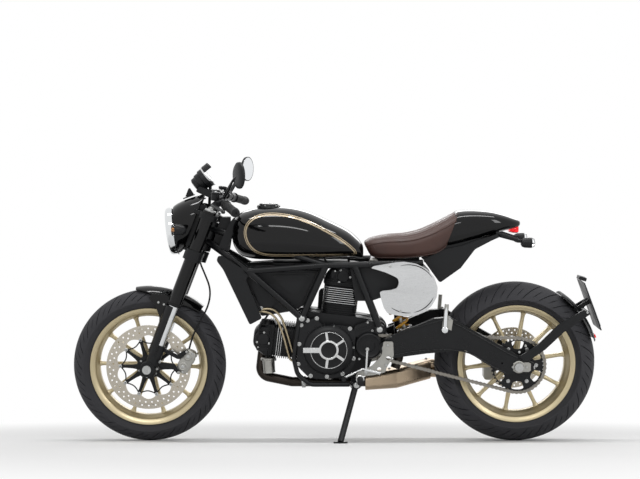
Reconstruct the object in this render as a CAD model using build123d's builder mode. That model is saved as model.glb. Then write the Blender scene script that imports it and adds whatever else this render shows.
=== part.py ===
from build123d import *
import math
import os

# A cafe racer motorcycle with an air-cooled L-twin engine, leaning on its side stand.
# Everything is drawn upright in one bike frame, in millimetres: +X to the rear, +Y to the
# rider's right and +Z up, with zero on the floor midway between the wheels. At the end the
# machine is leaned over onto its stand and set on the middle of its own floor area.

# Stance
wheelbase = 1436.0
seat_height = 800.0
lean_angle = 9.0
rake = 21.0
overrun = 2.0
fit_gap = 0.3
running_gap = 0.05

# Tyres and rims
rim_flange_radius = 230.0
bead_depth = 16.0
front_tyre_height = 70.0
front_tyre_width = 120.0
front_crown_radius = 62.0
rear_tyre_height = 85.0
rear_tyre_width = 180.0
rear_crown_radius = 95.0
front_bead_width = 92.0
rear_bead_width = 140.0
rim_flange_thickness = 6.0
rim_wall = 9.0

# Spokes and hubs
spoke_count = 10
front_spoke_phase = -2.0
rear_spoke_phase = 8.0
spoke_hub_width = 25.0
spoke_rim_width = 15.0
front_spoke_depth = 30.0
rear_spoke_depth = 36.0
hub_radius = 44.0
front_hub_length = 88.0
rear_hub_length = 120.0
axle_radius = 12.5
axle_collar_radius = 18.0
axle_nut_radius = 17.0
axle_nut_length = 9.0

# Brakes
front_disc_radius = 165.0
front_disc_band = 36.0
disc_thickness = 5.0
front_disc_offset = 58.0
rear_disc_radius = 122.0
rear_disc_band = 30.0
rear_disc_offset = 88.0
disc_hole_radius = 4.0
disc_hole_count = 30
outer_hole_share = 0.28
inner_hole_share = 0.72
hole_row_turn = 6.0
carrier_hub_radius = 60.0
carrier_arm_width = 17.0
rear_arm_count = 5
rear_arm_start = 90.0
caliper_slot_gap = 2.0

# Final drive
chain_pitch = 15.875
front_teeth = 15
rear_teeth = 42
chain_line = 106.0
chain_width = 15.0
chain_outer_half = 7.5
chain_roller_radius = 5.0
sprocket_thickness = 7.0
tooth_gap = 0.5
tooth_height = 6.0
tooth_width = 6.0
sprocket_drum_radius = 58.0
sprocket_window_count = 6
sprocket_window_share = 0.76
sprocket_window_width_share = 0.22

# Steering
fork_spread = 196.0
yoke_offset = 20.0
axle_lead = 10.0
outer_tube_radius = 27.0
stanchion_radius = 20.5
fork_foot_radius = 26.0
foot_boss_radius = 29.0
foot_boss_half = 29.0
foot_bottom_along = -22.0
foot_top_along = 105.0
outer_tube_along = 275.0
fork_top_along = 660.0
yoke_wall = 9.0
lower_yoke_along = 456.0
lower_yoke_thickness = 42.0
upper_yoke_along = 626.0
upper_yoke_thickness = 24.0
yoke_depth = 53.0
head_tube_radius = 32.0
head_tube_gap = 5.0
stem_radius = 15.0

# Frame tubes
tube_radius = 13.0
lug_radius = 19.0
lug_cap = 11.0
rail_radius = 9.0
frame_half_width = 131.0
cross_tube_radius = 12.0

# Engine
engine_half_width = 112.0
engine_rear_half_width = 88.0
engine_edge = 12.0
cover_depth = 30.0
cylinder_tilt = 6.7
cylinder_half_width = 84.0
fin_half_depth = 68.0
barrel_core_radius = 56.0
deck_height = 132.0
deck_half = 72.0
lug_half_width = 56.0
fin_pitch = 8.2
fin_thickness = 3.4
fin_count = 13
head_length = 82.0
head_half_width = 70.0
head_half_depth = 62.0

# Bodywork
tank_half_width = 150.0
seat_half_width = 128.0
cowl_half_width = 112.0
undertray_half_width = 92.0
fairing_half_width = 92.0
lamp_radius = 81.0
lamp_rim_depth = 20.0

# Swingarm
arm_inner = 120.0
arm_outer = 152.0
pivot_radius = 30.0
pivot_clearance = 2.0
pivot_shaft_radius = 11.0

# Side stand
stand_pivot_side = -136.0
stand_foot_side = -262.0
stand_tube_radius = 12.0
stand_foot_radius = 27.0
stand_foot_thickness = 6.0
stand_pin_radius = 7.0
stand_eye_radius = 17.0
stand_eye_thickness = 24.0
stand_clearance = 8.0
stand_socket_length = 60.0
stand_axis_slopes = (-0.10, 0.985, -0.137)

# Places, as shares of the wheelbase along the bike and of the seat height above the floor
crank_share = (0.007, 0.4725)
lug_share = (-0.082, 0.627)
rear_lug_share = (0.127, 0.574)
pivot_share = (0.1465, 0.4825)
front_sprocket_share = (0.098, 0.4925)
stand_pivot_share = (0.063, 0.3025)
stand_foot_share = 0.021

crankcase_shares = (
    (0.140, 0.600), (0.150, 0.560), (0.112, 0.440), (0.095, 0.350), (0.050, 0.325),
    (-0.056, 0.325),
)
lug_boss_shares = ((-0.092, 0.605), (-0.070, 0.655))
recess_shares = ((0.062, 0.553), (0.165, 0.553), (0.165, 0.300), (0.062, 0.300))
side_case_shares = (
    (-0.078, 0.590), (-0.084, 0.400), (-0.050, 0.345), (0.035, 0.345), (0.056, 0.390),
    (0.056, 0.570), (0.010, 0.610),
)
tank_side_shares = (
    (-0.272, 1.030), (-0.252, 1.105), (-0.215, 1.148), (-0.160, 1.157), (-0.105, 1.149),
    (-0.050, 1.120), (0.005, 1.078), (0.053, 1.032), (0.084, 0.975), (0.080, 0.912),
    (-0.190, 0.899), (-0.255, 0.911),
)
tank_plan_shares = (
    (-0.272, 0.45), (-0.225, 0.86), (-0.160, 1.00), (-0.080, 0.98), (0.000, 0.82),
    (0.050, 0.60), (0.084, 0.48),
)
seat_side_shares = (
    (0.090, 0.978), (0.110, 1.010), (0.150, 1.018), (0.205, 1.028), (0.262, 1.064),
    (0.300, 1.104), (0.334, 1.135), (0.316, 0.928), (0.248, 0.908), (0.118, 0.900),
)
seat_plan_shares = (
    (0.088, 0.48), (0.130, 0.66), (0.190, 0.94), (0.250, 1.00), (0.334, 0.86),
)
cowl_side_shares = (
    (0.3300, 1.135), (0.380, 1.140), (0.442, 1.128), (0.493, 1.100), (0.5125, 1.085),
    (0.493, 1.049), (0.413, 1.012), (0.314, 0.960), (0.316, 1.000),
)
cowl_plan_shares = (
    (0.310, 1.00), (0.400, 0.86), (0.470, 0.62), (0.514, 0.36),
)
undertray_shares = (
    (0.250, 0.915), (0.3185, 0.940), (0.322, 0.975), (0.371, 1.000), (0.384, 0.940),
    (0.356, 0.901), (0.341, 0.869), (0.289, 0.796),
)
side_cover_shares = (
    (0.098, 0.868), (0.130, 0.893), (0.190, 0.901), (0.240, 0.876), (0.274, 0.820),
    (0.282, 0.780), (0.272, 0.720), (0.240, 0.667), (0.193, 0.642), (0.150, 0.652),
    (0.122, 0.712), (0.176, 0.745), (0.180, 0.815),
)
arm_shares = (
    (0.130, 0.470), (0.146, 0.532), (0.273, 0.628), (0.315, 0.634), (0.511, 0.436),
    (0.540, 0.412), (0.540, 0.372), (0.467, 0.355), (0.356, 0.474), (0.253, 0.459),
    (0.160, 0.436),
)
beam_shares = ((0.204, 0.452), (0.206, 0.506), (0.240, 0.512), (0.258, 0.480), (0.250, 0.455))

os.makedirs("parts", exist_ok=True)

# Values worked out from the dimensions above
lean = math.radians(lean_angle)
bead_radius = rim_flange_radius - bead_depth
front_tyre_radius = rim_flange_radius + front_tyre_height
rear_tyre_radius = rim_flange_radius + rear_tyre_height
front_axle_height = front_tyre_radius - (
    (rear_crown_radius - front_crown_radius) * (1 / math.cos(lean) - 1)
)
front_axle_at = Vector(-wheelbase / 2, 0, front_axle_height)
rear_axle_at = Vector(wheelbase / 2, 0, rear_tyre_radius)
lean_lift = rear_crown_radius * (1 - math.cos(lean))
steer_up = Vector(math.sin(math.radians(rake)), 0, math.cos(math.radians(rake)))
steer_back = Vector(math.cos(math.radians(rake)), 0, -math.sin(math.radians(rake)))
steer_foot = front_axle_at + steer_back * (yoke_offset + axle_lead)
fork_side = fork_spread / 2
front_rim_half = front_bead_width / 2 + rim_flange_thickness
rear_rim_half = rear_bead_width / 2 + rim_flange_thickness
rear_chain_radius = chain_pitch / (2 * math.sin(math.pi / rear_teeth))
front_chain_radius = chain_pitch / (2 * math.sin(math.pi / front_teeth))


def flat(shares):
    """Places in side view, along the bike and above the floor."""
    return [(wheelbase * along, seat_height * up) for along, up in shares]


def spot(share, side=0.0):
    """One place, given as shares, at a distance across the bike."""
    return Vector(wheelbase * share[0], side, seat_height * share[1])


def on_fork(along, ahead=0.0, side=0.0):
    """A place given along the steering axis, ahead of it and across it."""
    return steer_foot + steer_up * along - steer_back * ahead + Vector(0, side, 0)


def side_plane(side, centre=Vector(0, 0, 0)):
    """The plane that faces the rider's left, at a distance across the bike."""
    return Plane(origin=(centre.X, side, centre.Z), x_dir=(1, 0, 0), z_dir=(0, -1, 0))


def steer_plane(along, ahead=0.0, side=0.0):
    """The plane square to the steering axis, with local X to the rear."""
    return Plane(origin=on_fork(along, ahead, side), x_dir=steer_back, z_dir=steer_up)


def across(inner, outer, points, corner=0.0, mode=Mode.ADD):
    """Add a flat piece with a side-view outline, from one distance across to another."""
    with BuildSketch(side_plane(inner)) as outline:
        with BuildLine():
            if corner:
                FilletPolyline(*points, radius=corner, close=True)
            else:
                Polyline(*points, close=True)
        make_face()
    extrude(outline.sketch, amount=inner - outer, mode=mode)


def pin(centre, inner, outer, radius, mode=Mode.ADD):
    """Add a round piece along the axle direction, between two distances across."""
    with BuildSketch(side_plane(inner, centre)) as outline:
        Circle(radius)
    extrude(outline.sketch, amount=inner - outer, mode=mode)


def bar(points, radius, bend=0.0, mode=Mode.ADD):
    """Add a round bar along straight runs joined by bends."""
    with BuildLine() as route:
        if bend:
            FilletPolyline(*points, radius=bend)
        else:
            Polyline(*points)
    with BuildSketch(Plane(origin=route.line @ 0, z_dir=route.line % 0)) as section:
        Circle(radius)
    sweep(sections=section.sketch, path=route.line, mode=mode)


def post(start, end, radius, mode=Mode.ADD):
    """Add a straight round piece from one place to another."""
    way = end - start
    with BuildSketch(Plane(origin=start, z_dir=way)) as section:
        Circle(radius)
    extrude(section.sketch, amount=way.length, mode=mode)


def axle_section(axle, turned=0.0):
    """The plane through an axle that holds a wheel's section, turned forward from upright."""
    turn = math.radians(turned)
    return Plane(origin=axle, x_dir=(0, 1, 0), z_dir=(math.cos(turn), 0, math.sin(turn)))


def tyre(axle, radius, width, crown, bead_width):
    """Add a tyre with a round crown and straight shoulders down to its beads."""
    half = width / 2
    bead = bead_width / 2 - fit_gap
    shoulder = radius - crown + math.sqrt(crown**2 - half**2)
    with BuildSketch(axle_section(axle)) as section:
        with BuildLine():
            Polyline(
                (-half, shoulder),
                (-bead, rim_flange_radius),
                (-bead, bead_radius),
                (bead, bead_radius),
                (bead, rim_flange_radius),
                (half, shoulder),
            )
            ThreePointArc((half, shoulder), (0, radius), (-half, shoulder))
        make_face()
    revolve(section.sketch, axis=Axis(axle, (0, 1, 0)))


def cast_wheel(axle, rim_half, bead_half, spoke_depth, hub_length, phase):
    """Add a cast wheel: a flanged rim, ten tapered spokes and a bored hub."""
    bead_seat = bead_radius - fit_gap
    rim_inner = bead_seat - rim_wall
    with BuildSketch(axle_section(axle)) as section:
        with BuildLine():
            Polyline(
                (-rim_half, rim_flange_radius),
                (-bead_half, rim_flange_radius),
                (-bead_half, bead_seat),
                (bead_half, bead_seat),
                (bead_half, rim_flange_radius),
                (rim_half, rim_flange_radius),
                (rim_half, bead_seat),
                (spoke_depth / 2, rim_inner),
                (-spoke_depth / 2, rim_inner),
                (-rim_half, bead_seat),
                close=True,
            )
        make_face()
    revolve(section.sketch, axis=Axis(axle, (0, 1, 0)))
    with BuildSketch(side_plane(spoke_depth / 2, axle)) as spokes:
        with PolarLocations(0, spoke_count, start_angle=phase):
            with BuildLine():
                Polyline(
                    (0, -spoke_hub_width / 2),
                    (rim_inner + overrun, -spoke_rim_width / 2),
                    (rim_inner + overrun, spoke_rim_width / 2),
                    (0, spoke_hub_width / 2),
                    close=True,
                )
            make_face()
    extrude(spokes.sketch, amount=spoke_depth)
    pin(axle, hub_length / 2, -hub_length / 2, hub_radius)
    pin(axle, hub_length, -hub_length, axle_radius + running_gap, mode=Mode.SUBTRACT)


def toothed_disc(axle, side, thickness, teeth, root, tip):
    """Add a chain wheel with straight-sided teeth around its rim."""
    with BuildSketch(side_plane(side, axle)) as outline:
        Circle(root)
        with PolarLocations(0, teeth):
            with Locations(((root - overrun + tip) / 2, 0)):
                Rectangle(tip - root + overrun, tooth_width)
    extrude(outline.sketch, amount=thickness)


# Front wheel: tyre, rim, drilled disc and its carrier
with BuildPart() as front_tyre:
    tyre(front_axle_at, front_tyre_radius, front_tyre_width, front_crown_radius, front_bead_width)

with BuildPart() as front_wheel:
    cast_wheel(
        front_axle_at, front_rim_half, front_bead_width / 2, front_spoke_depth,
        front_hub_length, front_spoke_phase,
    )

front_disc_inner = front_disc_radius - front_disc_band
front_disc_face = -front_disc_offset + disc_thickness / 2
with BuildPart() as front_disc:
    with BuildSketch(side_plane(front_disc_face, front_axle_at)) as disc_outline:
        Circle(front_disc_radius)
        Circle(front_disc_inner, mode=Mode.SUBTRACT)
        with PolarLocations(front_disc_radius - outer_hole_share * front_disc_band, disc_hole_count):
            Circle(disc_hole_radius, mode=Mode.SUBTRACT)
        with PolarLocations(front_disc_radius - inner_hole_share * front_disc_band, disc_hole_count, hole_row_turn):
            Circle(disc_hole_radius, mode=Mode.SUBTRACT)
    extrude(amount=disc_thickness)

with BuildPart() as disc_carrier:
    with BuildSketch(side_plane(front_disc_face, front_axle_at)) as carrier_outline:
        Circle(carrier_hub_radius)
        with PolarLocations(0, spoke_count, front_spoke_phase):
            with Locations(((front_disc_inner - fit_gap) / 2, 0)):
                Rectangle(front_disc_inner - fit_gap, carrier_arm_width)
    extrude(amount=disc_thickness)
    pin(front_axle_at, -front_hub_length / 2, front_disc_face, hub_radius)
    pin(front_axle_at, 0, -front_hub_length, axle_collar_radius + fit_gap, mode=Mode.SUBTRACT)

# Rear wheel: tyre, rim, toothed chain wheel on its drum, and brake disc
with BuildPart() as rear_tyre:
    tyre(rear_axle_at, rear_tyre_radius, rear_tyre_width, rear_crown_radius, rear_bead_width)

with BuildPart() as rear_wheel:
    cast_wheel(
        rear_axle_at, rear_rim_half, rear_bead_width / 2, rear_spoke_depth,
        rear_hub_length, rear_spoke_phase,
    )

rear_tooth_tip = rear_chain_radius - chain_roller_radius - tooth_gap
sprocket_face = -chain_line + sprocket_thickness / 2
with BuildPart() as rear_sprocket:
    toothed_disc(
        rear_axle_at, sprocket_face, sprocket_thickness, rear_teeth,
        rear_tooth_tip - tooth_height, rear_tooth_tip,
    )
    with BuildSketch(side_plane(sprocket_face + overrun, rear_axle_at)) as windows:
        with PolarLocations(sprocket_window_share * rear_tooth_tip, sprocket_window_count):
            SlotCenterToCenter(
                sprocket_window_width_share * rear_tooth_tip,
                sprocket_window_width_share * rear_tooth_tip, rotation=90,
            )
    extrude(windows.sketch, amount=sprocket_thickness + 2 * overrun, mode=Mode.SUBTRACT)
    pin(rear_axle_at, -rear_hub_length / 2, sprocket_face, sprocket_drum_radius)
    pin(rear_axle_at, 0, -arm_inner, axle_collar_radius + fit_gap, mode=Mode.SUBTRACT)

rear_disc_face = rear_disc_offset + disc_thickness / 2
rear_disc_inner = rear_disc_radius - rear_disc_band
with BuildPart() as rear_disc:
    with BuildSketch(side_plane(rear_disc_face, rear_axle_at)) as rear_disc_outline:
        Circle(rear_disc_radius)
        Circle(rear_disc_inner, mode=Mode.SUBTRACT)
        with PolarLocations(rear_disc_radius - rear_disc_band / 2, disc_hole_count):
            Circle(disc_hole_radius, mode=Mode.SUBTRACT)
        Circle(hub_radius)
        with PolarLocations(0, rear_arm_count, rear_arm_start):
            with Locations((rear_disc_inner / 2, 0)):
                Rectangle(rear_disc_inner + overrun, carrier_arm_width)
    extrude(amount=disc_thickness)
    pin(rear_axle_at, rear_disc_face - overrun, rear_hub_length / 2, hub_radius)
    pin(rear_axle_at, arm_inner, 0, axle_collar_radius + fit_gap, mode=Mode.SUBTRACT)

# Fork: yokes, slider tubes, bright inner tubes and cast feet
with BuildPart() as lower_yoke:
    with BuildSketch(steer_plane(lower_yoke_along)) as lower_outline:
        with Locations((-yoke_offset, fork_side), (-yoke_offset, -fork_side)):
            Circle(outer_tube_radius + yoke_wall)
        with Locations((-yoke_offset / 2, 0)):
            Rectangle(yoke_depth, fork_spread)
        Circle(head_tube_radius)
    extrude(amount=lower_yoke_thickness)
    with BuildSketch(steer_plane(lower_yoke_along)) as lower_bores:
        with Locations((-yoke_offset, fork_side), (-yoke_offset, -fork_side)):
            Circle(outer_tube_radius + running_gap)
    extrude(amount=lower_yoke_thickness, mode=Mode.SUBTRACT)
    post(on_fork(lower_yoke_along), on_fork(fork_top_along), stem_radius)

with BuildPart() as upper_yoke:
    with BuildSketch(steer_plane(upper_yoke_along)) as upper_outline:
        with Locations((-yoke_offset, fork_side), (-yoke_offset, -fork_side)):
            Circle(outer_tube_radius + yoke_wall)
        with Locations((-yoke_offset / 2, 0)):
            Rectangle(yoke_depth, fork_spread)
        Circle(head_tube_radius)
    extrude(amount=upper_yoke_thickness)
    with BuildSketch(steer_plane(upper_yoke_along)) as upper_bores:
        with Locations((-yoke_offset, fork_side), (-yoke_offset, -fork_side)):
            Circle(outer_tube_radius + running_gap)
        Circle(stem_radius + running_gap)
    extrude(amount=upper_yoke_thickness, mode=Mode.SUBTRACT)

with BuildPart() as fork_outer_tubes:
    post(
        on_fork(outer_tube_along, yoke_offset, -fork_side),
        on_fork(fork_top_along, yoke_offset, -fork_side),
        outer_tube_radius,
    )
    post(
        on_fork(outer_tube_along - overrun, yoke_offset, -fork_side),
        on_fork(outer_tube_along + 2 * outer_tube_radius, yoke_offset, -fork_side),
        stanchion_radius + running_gap,
        mode=Mode.SUBTRACT,
    )
    mirror(about=Plane.XZ)

with BuildPart() as fork_stanchions:
    post(
        on_fork(foot_top_along, yoke_offset, -fork_side),
        on_fork(outer_tube_along + 2 * outer_tube_radius, yoke_offset, -fork_side),
        stanchion_radius,
    )
    mirror(about=Plane.XZ)

with BuildPart() as fork_feet:
    post(
        on_fork(foot_bottom_along, yoke_offset, -fork_side),
        on_fork(foot_top_along, yoke_offset, -fork_side),
        fork_foot_radius,
    )
    pin(front_axle_at, foot_boss_half - fork_side, -foot_boss_half - fork_side, foot_boss_radius)
    pin(front_axle_at, 0, -2 * fork_side, axle_radius + running_gap, mode=Mode.SUBTRACT)
    mirror(about=Plane.XZ)

axle_reach = fork_side + foot_boss_half
with BuildPart() as front_axle:
    pin(front_axle_at, axle_reach + axle_nut_length, -axle_reach - axle_nut_length, axle_radius)
    pin(
        front_axle_at, -front_hub_length / 2 - fit_gap,
        foot_boss_half - fork_side + fit_gap, axle_collar_radius,
    )
    pin(
        front_axle_at, fork_side - foot_boss_half - fit_gap,
        front_hub_length / 2 + fit_gap, axle_collar_radius,
    )
    pin(front_axle_at, -axle_reach - fit_gap, -axle_reach - axle_nut_length, axle_nut_radius)
    pin(front_axle_at, axle_reach + axle_nut_length, axle_reach + fit_gap, axle_nut_radius)

# Front mudguard: a crowned band over the tyre on two side plates
guard_gap = 10.0
guard_wall = 4.0
guard_half_width = 68.0
guard_crown = 74.0
guard_start = 9.5
guard_sweep = 52.0
guard_plate_ratio_shares = ((-0.075, 0.870), (0.250, 0.850), (0.205, 0.275), (0.090, 0.310))
with BuildPart() as front_mudguard:
    guard_inner = front_tyre_radius + guard_gap
    guard_drop = guard_crown - math.sqrt(guard_crown**2 - guard_half_width**2)
    with BuildSketch(axle_section(front_axle_at, guard_start)) as guard_section:
        with BuildLine():
            ThreePointArc(
                (-guard_half_width, guard_inner - guard_drop), (0, guard_inner),
                (guard_half_width, guard_inner - guard_drop),
            )
            Line(
                (guard_half_width, guard_inner - guard_drop),
                (guard_half_width, guard_inner - guard_drop + guard_wall),
            )
            ThreePointArc(
                (guard_half_width, guard_inner - guard_drop + guard_wall),
                (0, guard_inner + guard_wall),
                (-guard_half_width, guard_inner - guard_drop + guard_wall),
            )
            Line(
                (-guard_half_width, guard_inner - guard_drop + guard_wall),
                (-guard_half_width, guard_inner - guard_drop),
            )
        make_face()
    revolve(guard_section.sketch, axis=Axis(front_axle_at, (0, 1, 0)), revolution_arc=guard_sweep)
    guard_plate_outer = fork_side - fork_foot_radius - fit_gap
    for side in (-1, 1):
        across(
            side * guard_plate_outer, side * (guard_half_width - guard_wall / 2),
            [(front_axle_at.X + guard_inner * along, front_axle_at.Z + guard_inner * up)
             for along, up in guard_plate_ratio_shares],
        )


# Front brake caliper over the disc, behind the left leg
caliper_turn = -28.0
caliper_swing = -10.0
caliper_length = 96.0
caliper_height = 46.0
caliper_half_width = 27.0
caliper_radius = 0.9 * front_disc_radius
caliper_bracket_thickness = 8.0
caliper_bracket_ratio_shares = ((0.28, 0.52), (0.17, 0.06), (0.78, -0.02), (0.86, 0.36))
with BuildPart() as front_caliper:
    caliper_at = front_axle_at + Vector(caliper_radius, 0, 0).rotate(Axis.Y, caliper_swing)
    with BuildSketch(side_plane(caliper_half_width - front_disc_offset, caliper_at)) as caliper_outline:
        RectangleRounded(caliper_height, caliper_length, 0.3 * caliper_height, rotation=caliper_turn)
    extrude(amount=2 * caliper_half_width)
    bracket_face = -front_disc_offset - caliper_half_width
    across(
        bracket_face, bracket_face - caliper_bracket_thickness,
        [(front_axle_at.X + front_disc_radius * along, front_axle_at.Z + front_disc_radius * up)
         for along, up in caliper_bracket_ratio_shares],
    )
    post(
        on_fork(foot_bottom_along - overrun, yoke_offset, -fork_side),
        on_fork(foot_top_along + overrun, yoke_offset, -fork_side),
        fork_foot_radius + fit_gap, mode=Mode.SUBTRACT,
    )
    pin(
        front_axle_at, front_disc_face + caliper_slot_gap,
        front_disc_face - disc_thickness - caliper_slot_gap,
        front_disc_radius + 2 * caliper_slot_gap, mode=Mode.SUBTRACT,
    )

# Round headlamp with a bright rim, in a small nose fairing
lamp_along = 542.9
lamp_ahead = 131.5
lamp_at = on_fork(lamp_along, lamp_ahead)
rim_front = 0.6 * lamp_rim_depth
dome_rise = lamp_rim_depth - rim_front
dome_radius = (lamp_radius**2 + dome_rise**2) / (2 * dome_rise)
dome_centre = lamp_rim_depth - dome_radius
with BuildPart() as headlamp:
    with BuildSketch(Plane(lamp_at, x_dir=(-1, 0, 0), z_dir=(0, 1, 0))) as lamp_section:
        with BuildLine():
            Polyline(
                (lamp_rim_depth, 0), (-lamp_radius / 2, 0), (-lamp_radius / 2, lamp_radius / 2),
                (0, lamp_radius - rim_wall), (0, lamp_radius), (rim_front, lamp_radius),
            )
            ThreePointArc(
                (rim_front, lamp_radius),
                (dome_centre + math.sqrt(dome_radius**2 - lamp_radius**2 / 4), lamp_radius / 2),
                (lamp_rim_depth, 0),
            )
        make_face()
    revolve(lamp_section.sketch, axis=Axis(lamp_at, (1, 0, 0)))

fairing_front_places = (
    (428.5, 86.8), (538.2, 135.9), (624.9, 162.2), (662.9, 146.0), (698.8, 106.0),
)
with BuildPart() as nose_fairing:
    fairing_back = yoke_offset + outer_tube_radius + yoke_wall + fit_gap
    fairing_low = on_fork(lower_yoke_along + fit_gap, fairing_back)
    fairing_high = on_fork(fork_top_along + 2 * outer_tube_radius, fairing_back)
    fairing_front = [on_fork(along, ahead) for along, ahead in fairing_front_places]
    across(
        fairing_half_width, -fairing_half_width,
        [(place.X, place.Z) for place in (fairing_low, *fairing_front, fairing_high)],
    )
    post(lamp_at - Vector(lamp_radius, 0, 0), lamp_at + Vector(lamp_radius / 2 + fit_gap, 0, 0),
         lamp_radius + fit_gap, mode=Mode.SUBTRACT)

# Handlebar on two risers, grips, levers, mirrors and gauge
bar_radius = 11.0
bar_along = 720.9
bar_ahead = 8.3
bar_end_along = 712.9
bar_end_ahead = -79.3
bar_knee_side = 155.0
bar_end_side = 388.0
bar_bend = 60.0
riser_radius = 13.0
riser_half_width = 15.0
riser_cap_radius = 19.0
riser_spread = 72.0
grip_radius = 16.5
grip_length = 124.0
bar_end = on_fork(bar_end_along, bar_end_ahead, -bar_end_side)
bar_knee = on_fork(bar_along, bar_ahead, -bar_knee_side)
far_knee = on_fork(bar_along, bar_ahead, bar_knee_side)
far_end = on_fork(bar_end_along, bar_end_ahead, bar_end_side)
bar_run = (bar_knee - bar_end).normalized()
with BuildPart() as handlebar:
    bar([bar_end, bar_knee, far_knee, far_end], bar_radius, bar_bend)
    for side in (-riser_spread / 2, riser_spread / 2):
        post(on_fork(upper_yoke_along + upper_yoke_thickness, bar_ahead, side),
             on_fork(bar_along, bar_ahead, side), riser_radius)
        pin(bar_knee, side + riser_half_width, side - riser_half_width, riser_cap_radius)

with BuildPart() as grips:
    post(bar_end, bar_end + bar_run * grip_length, grip_radius)
    post(bar_end - bar_run * overrun, bar_end + bar_run * (grip_length + overrun),
         bar_radius + running_gap, mode=Mode.SUBTRACT)
    mirror(about=Plane.XZ)

# Head tube of the frame around the steering stem
with BuildPart() as head_tube:
    post(on_fork(lower_yoke_along + lower_yoke_thickness + head_tube_gap),
         on_fork(upper_yoke_along - head_tube_gap), head_tube_radius)
    post(on_fork(lower_yoke_along), on_fork(fork_top_along), stem_radius + fit_gap,
         mode=Mode.SUBTRACT)


# Frame: each side is a run of welded tubes between the head tube and the engine
head_joint_low = 44.8
head_joint_high = 35.2
head_low = on_fork(lower_yoke_along + lower_yoke_thickness + head_joint_low)
head_high = on_fork(upper_yoke_along - head_joint_high)
down_share = (-0.225, 0.855)
arch_share = (-0.017, 0.884)
arch_rear_share = (0.059, 0.884)
cross_tube_share = (0.112, 0.886)
subframe_end_share = (0.243, 0.892)
seat_rail_inset = 21.0
seat_rail_side = seat_rail_inset - frame_half_width
lower_rail_side = -engine_half_width - rail_radius - overrun
lower_rail_shares = ((-0.090, 0.615), (-0.104, 0.431), (-0.094, 0.352), (-0.060, 0.302))
lower_rail_bend = 45.0
head_side = -19.2
stand_pivot_at = spot(stand_pivot_share, stand_pivot_side)
lug_outer = -frame_half_width - lug_cap


def frame_side():
    """Add the left half of the frame."""
    side = -frame_half_width
    lug_top = spot(lug_share, side)
    post(Vector(head_low.X, head_side, head_low.Z), spot(down_share, side), tube_radius)
    post(spot(down_share, side), lug_top, tube_radius)
    post(Vector(head_high.X, head_side, head_high.Z), spot(arch_share, side), tube_radius)
    post(spot(arch_share, side), lug_top, tube_radius)
    post(spot(down_share, side), spot(arch_share, side), tube_radius)
    post(spot(arch_share, side), spot(arch_rear_share, side), tube_radius)
    post(spot(arch_rear_share, side), spot(rear_lug_share, side), tube_radius)
    post(spot(arch_rear_share, side), spot(subframe_end_share, seat_rail_side), tube_radius)
    rail_end = Vector(stand_pivot_at.X - stand_eye_radius - stand_clearance, lower_rail_side, stand_pivot_at.Z)
    bar([*(spot(share, lower_rail_side) for share in lower_rail_shares), rail_end],
        rail_radius, lower_rail_bend)
    pin(spot(lug_share), -engine_half_width - fit_gap, lug_outer, lug_radius)
    pin(spot(rear_lug_share), -engine_half_width - fit_gap, lug_outer, lug_radius)
    pin(spot(cross_tube_share), 0, -frame_half_width + tube_radius / 2, cross_tube_radius)
    for joint in (down_share, arch_share, arch_rear_share):
        with Locations(spot(joint, side)):
            Sphere(tube_radius)


with BuildPart() as frame_left:
    frame_side()
    post(on_fork(lower_yoke_along), on_fork(fork_top_along), head_tube_radius + fit_gap,
         mode=Mode.SUBTRACT)

with BuildPart() as frame_right:
    frame_side()
    post(on_fork(lower_yoke_along), on_fork(fork_top_along), head_tube_radius + fit_gap,
         mode=Mode.SUBTRACT)
    mirror(about=Plane.XZ, mode=Mode.REPLACE)

# Engine: crankcase with its mounting bosses, finned barrels and heads in an L
crank_at = spot(crank_share)
pivot_at = spot(pivot_share)
sprocket_at = spot(front_sprocket_share)
rear_up = Vector(math.sin(math.radians(cylinder_tilt)), 0, math.cos(math.radians(cylinder_tilt)))
front_up = Vector(-rear_up.Z, 0, rear_up.X)


def deck_corner(up, side):
    """One end of the joint face between the crankcase and a barrel, in side view."""
    corner = crank_at + up * deck_height + Vector(up.Z, 0, -up.X) * side * deck_half
    return (corner.X, corner.Z)


with BuildPart() as engine_block:
    across(
        engine_half_width, -engine_half_width,
        [
            deck_corner(front_up, -1), deck_corner(front_up, 1), *flat(lug_boss_shares),
            deck_corner(rear_up, -1), deck_corner(rear_up, 1), *flat(crankcase_shares),
        ],
    )
    across(-engine_rear_half_width, -engine_half_width - overrun, flat(recess_shares),
           mode=Mode.SUBTRACT)
    for side in (-1, 1):
        pin(pivot_at, side * lug_half_width, side * (engine_half_width + overrun),
            pivot_radius + pivot_clearance, mode=Mode.SUBTRACT)
    pin(spot(lug_share), engine_half_width, -engine_half_width, lug_radius)
    pin(spot(rear_lug_share), engine_half_width, -engine_half_width, lug_radius)
    pin(pivot_at, lug_half_width, -lug_half_width, pivot_radius)
    across(
        lug_half_width, -lug_half_width,
        [(sprocket_at.X, pivot_at.Z - pivot_radius), (sprocket_at.X, pivot_at.Z + pivot_radius),
         (pivot_at.X, pivot_at.Z + pivot_radius), (pivot_at.X, pivot_at.Z - pivot_radius)],
    )
    pin(pivot_at, lug_half_width, -lug_half_width, pivot_shaft_radius + running_gap,
        mode=Mode.SUBTRACT)

barrel_end = deck_height + fin_count * fin_pitch


def stacked(up, along):
    """The plane across a cylinder at a height above the crank, local X across the bike."""
    return Plane(origin=crank_at + up * along, x_dir=(0, 1, 0), z_dir=up)


def barrel(up):
    """Add one finned barrel."""
    post(crank_at + up * deck_height, crank_at + up * barrel_end, barrel_core_radius)
    for fin in range(fin_count):
        fin_base = deck_height + fin * fin_pitch + (fin_pitch - fin_thickness) / 2
        with BuildSketch(stacked(up, fin_base)) as fin_outline:
            RectangleRounded(2 * cylinder_half_width, 2 * fin_half_depth, engine_edge)
        extrude(fin_outline.sketch, amount=fin_thickness)


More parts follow.
